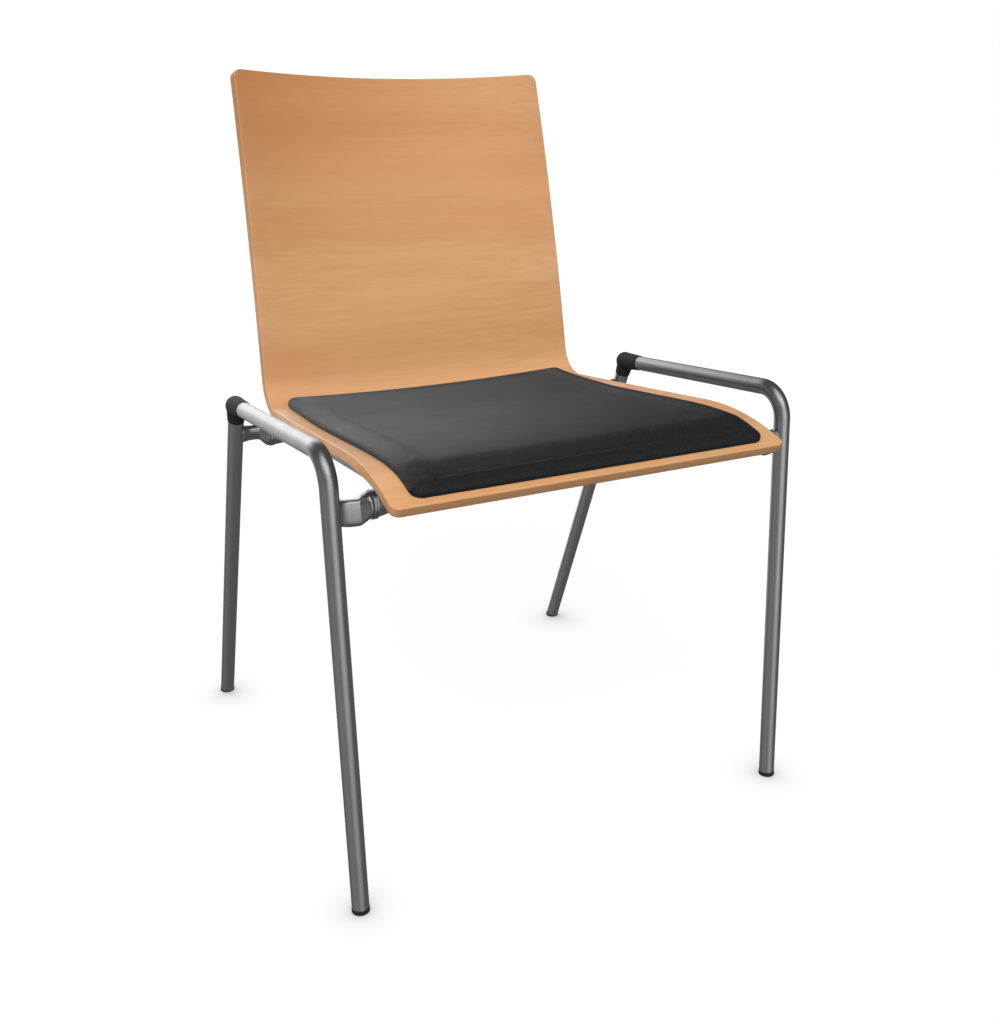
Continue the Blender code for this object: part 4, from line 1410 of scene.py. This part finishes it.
@dataclass
class SeatCarrier:
    """Arms, collars, sockets and seat rail of one side."""

    layout: FrameLayout
    side: Side
    collar_width: float = 0.0055
    collar_radius: dict[End, float] = by_end(0.0147, 0.0143)
    collar_step: float = 0.0008
    collar_overlap: float = 0.001
    collar_edge: float = 0.0005
    groove_depth: float = 0.0009
    groove_half_width: float = 0.0006
    socket_end: float = 0.0101
    socket_length: float = 0.026
    socket_turn: float = 0.35
    socket_rings: int = 20
    socket_lip: float = 0.0004
    socket_chamfer: float = 0.0005
    rail_bend: float = 0.022
    rail_bend_steps: int = 14
    arm_rings: int = 40
    arm_start: float = 0.13
    buried_end: float = 0.2
    flare_reach: tuple[float, float] = (0.1, 0.48)
    swell_reach: tuple[float, float] = (0.68, 0.97)
    upright_reach: tuple[float, float] = (0.55, 1.0)
    setback_reach: tuple[float, float] = (0.2, 0.7)
    soft_from: float = 0.96
    buried_cut: float = 0.3
    soft_cut: float = 0.05
    arm_power: dict[End, float] = by_end(3.4, 3.2)
    root_setback: dict[End, float] = by_end(0.0035, 0.0)
    root_half_width: float = 0.0094
    neck_half_width: float = 0.0064
    root_half_height: dict[End, float] = by_end(0.0128, 0.0096)
    root_rise: dict[End, float] = by_end(0.0008, -0.0045)
    neck_half_height: dict[End, float] = by_end(0.0134, 0.0089)
    neck_rise: dict[End, float] = by_end(-0.0004, -0.0045)

    def build(self) -> None:
        """Models and dresses every piece of this side."""
        self.build_rail()
        for end in End:
            self.build_arm(end)
            self.build_collar(end)
            self.build_socket(end)

    def rail_way(self, end: End) -> tuple[Vector, Vector]:
        """Start of the seat rail at a collar, and its direction there.

        Args:
            end: Which collar.

        Returns:
            The point and the direction.
        """
        centre = self.layout.collar_centre(self.side, end)
        way = (self.layout.seat_rail_corner(self.side, end) - centre).normalized()
        return centre + way * (self.collar_width / 2), way

    def build_rail(self) -> None:
        """Bent tube under the seat's side."""
        layout, side = self.layout, self.side
        (start, _), (finish, _) = (self.rail_way(end) for end in End)
        front, rear = (layout.seat_rail_corner(side, end) for end in End)
        name, corners = f"under_rail_{side.label}", (start, front, rear, finish)
        rail = bent_tube(name, corners, layout.tube_radius, self.rail_bend, self.rail_bend_steps)
        dress(rail, (SATIN_STEEL,), (f"seat_rail_{side.label}",))

    def build_arm(self, end: End) -> None:
        """Cast arm: saddle on the leg, narrow neck and round end.

        Args:
            end: The front or the rear one.
        """
        layout, side = self.layout, self.side
        leg = layout.leg_point(side, end, layout.arm_height)
        reach = layout.half_width - layout.collar_x - self.collar_width / 2
        root = (self.root_rise[end], self.root_half_width, self.root_half_height[end])
        neck = (self.neck_rise[end], self.neck_half_width, self.neck_half_height[end])
        tip_radius = self.collar_radius[end] - self.collar_step
        tip = (layout.collar_rise[end], tip_radius, tip_radius)
        inward, power = Vector((-side.value, 0.0, 0.0)), self.arm_power[end]
        bm = bmesh.new()
        rings = []
        for share in spread(self.arm_start, 1.0, self.arm_rings):
            flare, swell = ramp(share, *self.flare_reach), ramp(share, *self.swell_reach)
            first = [a + (b - a) * flare for a, b in zip(root, neck)]
            rise, half_width, half_height = (a + (b - a) * swell for a, b in zip(first, tip))
            buried = 1.0 - self.buried_cut * ramp(share, self.buried_end, self.arm_start)
            soft = 1.0 - self.soft_cut * ramp(share, self.soft_from, 1.0)
            up = layout.leg_up(end).lerp(Vector((0.0, 0.0, 1.0)), ramp(share, *self.upright_reach))
            back = self.root_setback[end] * (1 - ramp(share, *self.setback_reach))
            centre = leg + inward * (reach * share) + up * rise + Vector((0.0, back, 0.0))
            size = Matrix.Diagonal((half_width * soft * buried, half_height * soft, 1.0, 1.0))
            ring = ring_edges(bm, Matrix(), 1.0, FINE_SIDES)
            squared(bm, ring, upright(centre, inward, up) @ size, power + (2 - power) * swell)
            rings.append(ring)
        skin(bm, rings)
        arm = make_object(bm, f"cast_arm_{end.value}_{side.label}")
        dress(arm, (CAST_METAL,), (f"arm_{end.value}_{side.label}",))

    def build_collar(self, end: End) -> None:
        """Ring between the arm and the socket, with a groove round its middle.

        Args:
            end: The front or the rear one.
        """
        half, radius = self.collar_width / 2, self.collar_radius[end]
        soft, width = self.collar_edge, self.groove_half_width
        upper = [(radius - soft, half), (radius, half - soft), (radius, width)]
        upper.append((radius - self.groove_depth, width / 3))
        lower = [(point, -height) for point, height in reversed(upper)]
        bore = self.layout.tube_radius - self.collar_overlap
        profile = [(bore, half), *upper, *lower, (bore, -half)]
        inward = Vector((-self.side.value, 0.0, 0.0))
        place = aimed(self.layout.collar_centre(self.side, end), inward)
        collar = make_object(turned(profile, place, FINE_SIDES), f"ring_{end.value}_{self.side.label}")
        dress(collar, (CAST_METAL,), (f"collar_{end.value}_{self.side.label}",))

    def build_socket(self, end: End) -> None:
        """Tapered sleeve on the end of the seat rail.

        Args:
            end: The front or the rear one.
        """
        layout, side = self.layout, self.side
        start, way = self.rail_way(end)
        corner = layout.seat_rail_corner(side, end)
        other = layout.seat_rail_corner(side, End.REAR if end is End.FRONT else End.FRONT)
        along = (other - corner).normalized()
        tangent = self.rail_bend * math.tan(way.angle(along) / 2)
        straight = (corner - start).length - tangent
        axis = way.cross(along).normalized()
        bend_from = start + way * straight
        centre = bend_from + axis.cross(way) * self.rail_bend
        inward = Vector((-side.value, 0.0, 0.0))
        root = self.collar_radius[end] - self.collar_step
        places = []
        for step in spread(0.0, self.socket_length, self.socket_rings):
            share = step / self.socket_length
            radius = root + (self.socket_end - root) * share
            turn = max(step - straight, 0.0) / self.rail_bend
            spot = start + way * min(step, straight)
            if turn:
                spot = centre + Matrix.Rotation(turn, 3, axis) @ (bend_from - centre)
            heading = Matrix.Rotation(turn, 3, axis) @ way
            facing = inward.lerp(heading, ramp(share, 0.0, self.socket_turn)).normalized()
            places.append((aimed(spot, facing), radius))
        last, radius = places[-1]
        lip = Matrix.Translation((0.0, 0.0, self.socket_lip))
        places.append((last @ lip, radius - self.socket_chamfer))
        bm = bmesh.new()
        skin(bm, [ring_edges(bm, place, size) for place, size in places])
        socket = make_object(bm, f"taper_{end.value}_{side.label}")
        dress(socket, (CAST_METAL,), (f"socket_{end.value}_{side.label}",))


@dataclass
class UnderSeat:
    """Cross tubes, and the fixings that stay as the frame has them."""

    layout: FrameLayout
    tube_radius: float = 0.008
    tube_inset: float = 0.002
    nodes: dict[str, Object] = field(default_factory=dict)

    def build(self) -> None:
        """Models the cross tubes and dresses the fixings."""
        for end in End:
            self.build_cross_tube(end)
        finishes = {"spacer": PLASTIC, "shell_screw": ZINC, "shell_insert": ZINC, "elbow_core": ZINC}
        for name, node in sorted(self.nodes.items()):
            for stem, finish in finishes.items():
                if name.startswith(stem):
                    node.data.materials.clear()
                    node.data.materials.append(finish.material())
                    LOG.info("%s: kept, in %s", name, finish.name)

    def build_cross_tube(self, end: End) -> None:
        """Tube between the two seat rails.

        Args:
            end: The front or the rear one.
        """
        name = f"cross_tube_{end.value}"
        low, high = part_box(name)
        middle = (low + high) / 2
        half = self.layout.seat_rail_x - self.tube_inset
        corners = [Vector((side.value * half, middle.y, middle.z)) for side in Side]
        piece = bent_tube(f"tie_tube_{end.value}", corners, self.tube_radius)
        dress(piece, (SATIN_STEEL,), (name,))


# Studio


@dataclass(frozen=True)
class Softbox:
    """Upright panel of light that only shows in what mirrors it, its angles in degrees."""

    aim: float
    half_width: float
    core: float
    foot: tuple[float, float]
    head: tuple[float, float]
    power: float

    def level(self, sheet: NodeSheet, flat: NodeSocket, up: NodeSocket) -> NodeSocket:
        """How bright the panel is in a direction.

        Args:
            sheet: The world's nodes.
            flat: The direction's level part, of length 1.
            up: The direction's height.

        Returns:
            The brightness.
        """
        turn = math.radians(self.aim)
        aim = (math.sin(turn), math.cos(turn), 0.0)
        facing = sheet.add("ShaderNodeVectorMath", {0: flat, 1: aim}, operation="DOT_PRODUCT")
        edge, core = (math.cos(math.radians(angle)) for angle in (self.half_width, self.core))
        share = sheet.ranged(facing.outputs["Value"], edge, core, 0.0, self.power)
        foot, head = sheet.ranged(up, *self.foot, 0.0, 1.0), sheet.ranged(up, *self.head, 1.0, 0.0)
        return sheet.math("MULTIPLY", share, sheet.math("MULTIPLY", foot, head))


@dataclass(frozen=True)
class Lamp:
    """Large soft lamp that nothing mirrors."""

    name: str
    place: tuple[float, float, float]
    size: float
    power: float
    aim_height: float = 0.45

    def build(self) -> None:
        """Hangs the lamp and points it at the seat."""
        data = bpy.data.lights.new(self.name, "AREA")
        data.size = self.size
        data.energy = self.power
        lamp = bpy.data.objects.new(self.name, data)
        bpy.context.scene.collection.objects.link(lamp)
        lamp.location = self.place
        way = Vector((0.0, 0.0, self.aim_height)) - Vector(self.place)
        lamp.rotation_euler = way.to_track_quat("-Z", "Y").to_euler()
        lamp.visible_glossy = False


@dataclass
class Studio:
    """Pale floor, soft lamps, world and camera."""

    eye: Vector = field(default_factory=lambda: Vector((-0.5922, -1.1739, 0.7922)))
    azimuth: float = math.radians(27.894)
    pitch: float = math.radians(19.668)
    lens: float = 38.675
    sensor: float = 36.0
    floor_half: float = 12.0
    floor_glow: float = 0.915
    far_glow: float = 1.02
    glow_reach: tuple[float, float] = (1.0, 3.0)
    floor_color: float = 0.11
    contact: float = 0.06
    contact_samples: int = 16
    low_gleam: float = 0.135
    high_gleam: float = 0.08
    horizon: float = 0.2
    sky: float = 0.42
    panels: tuple[Softbox, ...] = (
        Softbox(-1, 35, 9, foot=(-0.55, 0.25), head=(0.35, 0.7), power=1.6),
        Softbox(178, 38, 6, foot=(-0.8, 0.0), head=(0.6, 0.95), power=0.75),
        Softbox(-100, 60, 25, foot=(-0.95, -0.6), head=(0.2, 0.7), power=0.12),
        Softbox(200, 75, 30, foot=(0.5, 0.8), head=(1.5, 2.0), power=0.9),
    )
    lamps: tuple[Lamp, ...] = (
        Lamp("key", place=(-1.5, -2.3, 3.1), size=3.0, power=139.0),
        Lamp("rear_fill", place=(-0.9, 3.0, 1.0), size=2.2, power=55.0),
    )

    def build(self) -> None:
        """Sets up everything that isn't the chair."""
        bpy.context.scene.view_settings.view_transform = "Standard"
        self.build_camera()
        self.build_floor()
        self.build_world()
        for lamp in self.lamps:
            lamp.build()

    def build_camera(self) -> None:
        """Camera at the viewing angle, level, with no shift."""
        data = bpy.data.cameras.new("camera")
        data.lens = self.lens
        data.sensor_width = self.sensor
        data.clip_start = 0.01
        data.clip_end = 100.0
        camera = bpy.data.objects.new("camera", data)
        bpy.context.scene.collection.objects.link(camera)
        flat = math.cos(self.pitch)
        look = Vector(
            (math.sin(self.azimuth) * flat, math.cos(self.azimuth) * flat, -math.sin(self.pitch))
        )
        camera.location = self.eye
        camera.rotation_euler = look.to_track_quat("-Z", "Y").to_euler()
        bpy.context.scene.camera = camera

    def build_floor(self) -> None:
        """White floor that still takes the chair's shadow."""
        bm = bmesh.new()
        bmesh.ops.create_grid(bm, x_segments=1, y_segments=1, size=self.floor_half)
        floor = make_object(bm, "floor", outward=False)
        material = bpy.data.materials.new("white_floor")
        material.use_nodes = True
        tree = material.node_tree
        tree.nodes.remove(tree.nodes["Principled BSDF"])
        sheet = NodeSheet(tree)
        plain = sheet.add("ShaderNodeBsdfDiffuse", {"Color": (*(self.floor_color,) * 3, 1.0)})
        place = sheet.add("ShaderNodeTexCoord").outputs["Object"]
        far = sheet.add("ShaderNodeVectorMath", {0: place}, operation="LENGTH").outputs["Value"]
        reach = {"Distance": self.contact}
        near = sheet.add("ShaderNodeAmbientOcclusion", reach, samples=self.contact_samples).outputs["AO"]
        wide = sheet.ranged(far, *self.glow_reach, self.floor_glow, self.far_glow)
        glow = sheet.add("ShaderNodeEmission", {"Strength": sheet.math("MULTIPLY", wide, near)})
        both = sheet.add("ShaderNodeAddShader", {0: plain.outputs[0], 1: glow.outputs[0]})
        clear = sheet.add("ShaderNodeBsdfTransparent")
        shown, glossy = sheet.rays()
        seen = sheet.add("ShaderNodeMixShader", {0: shown, 1: plain.outputs[0], 2: both.outputs[0]})
        mix = {0: glossy, 1: seen.outputs[0], 2: clear.outputs[0]}
        surface = sheet.add("ShaderNodeMixShader", mix).outputs[0]
        tree.links.new(surface, tree.nodes["Material Output"].inputs["Surface"])
        floor.data.materials.append(material)

    def build_world(self) -> None:
        """White to the camera, an even dome to the light, and a soft studio to what mirrors it."""
        world = bpy.data.worlds.new("studio")
        world.use_nodes = True
        bpy.context.scene.world = world
        tree = world.node_tree
        sheet = NodeSheet(tree)
        way = sheet.add("ShaderNodeTexCoord").outputs["Generated"]
        up = sheet.add("ShaderNodeSeparateXYZ", {0: way}).outputs["Z"]
        level = sheet.ranged(up, -self.horizon, self.horizon, self.low_gleam, self.high_gleam)
        level_way = sheet.add("ShaderNodeVectorMath", {0: way, 1: (1.0, 1.0, 0.0)}, operation="MULTIPLY")
        flat = sheet.add("ShaderNodeVectorMath", {0: level_way.outputs[0]}, operation="NORMALIZE").outputs[0]
        for panel in self.panels:
            level = sheet.math("ADD", level, panel.level(sheet, flat, up))
        shown, glossy = sheet.rays()
        dull = sheet.math("SUBTRACT", 1.0, sheet.math("ADD", shown, glossy))
        mirrored = sheet.math("MULTIPLY", level, glossy)
        light = sheet.math("ADD", sheet.math("ADD", mirrored, shown), sheet.math("MULTIPLY", dull, self.sky))
        sky = tree.nodes["Background"].inputs
        sky["Color"].default_value = (1.0, 1.0, 1.0, 1.0)
        tree.links.new(light, sky["Strength"])


def clear_scene() -> None:
    """Removes what a new file holds."""
    for obj in list(bpy.data.objects):
        bpy.data.objects.remove(obj, do_unlink=True)


def main() -> None:
    """Builds the studio and the chair, piece by piece."""
    logging.basicConfig(level=logging.INFO, format="%(name)s: %(message)s")
    clear_scene()
    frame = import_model()
    layout, surface = FrameLayout(), ShellSurface()
    Studio().build()
    shell, pad = SeatShell(surface), SeatPad(surface)
    shell.build()
    pad.build()
    pad.build_board()
    pad.build_screws(shell.thickness)
    for side in Side:
        SideFrame(layout, side).build()
        SeatCarrier(layout, side).build()
    UnderSeat(layout, nodes=frame["nodes"]).build()


if __name__ == "__main__":
    main()
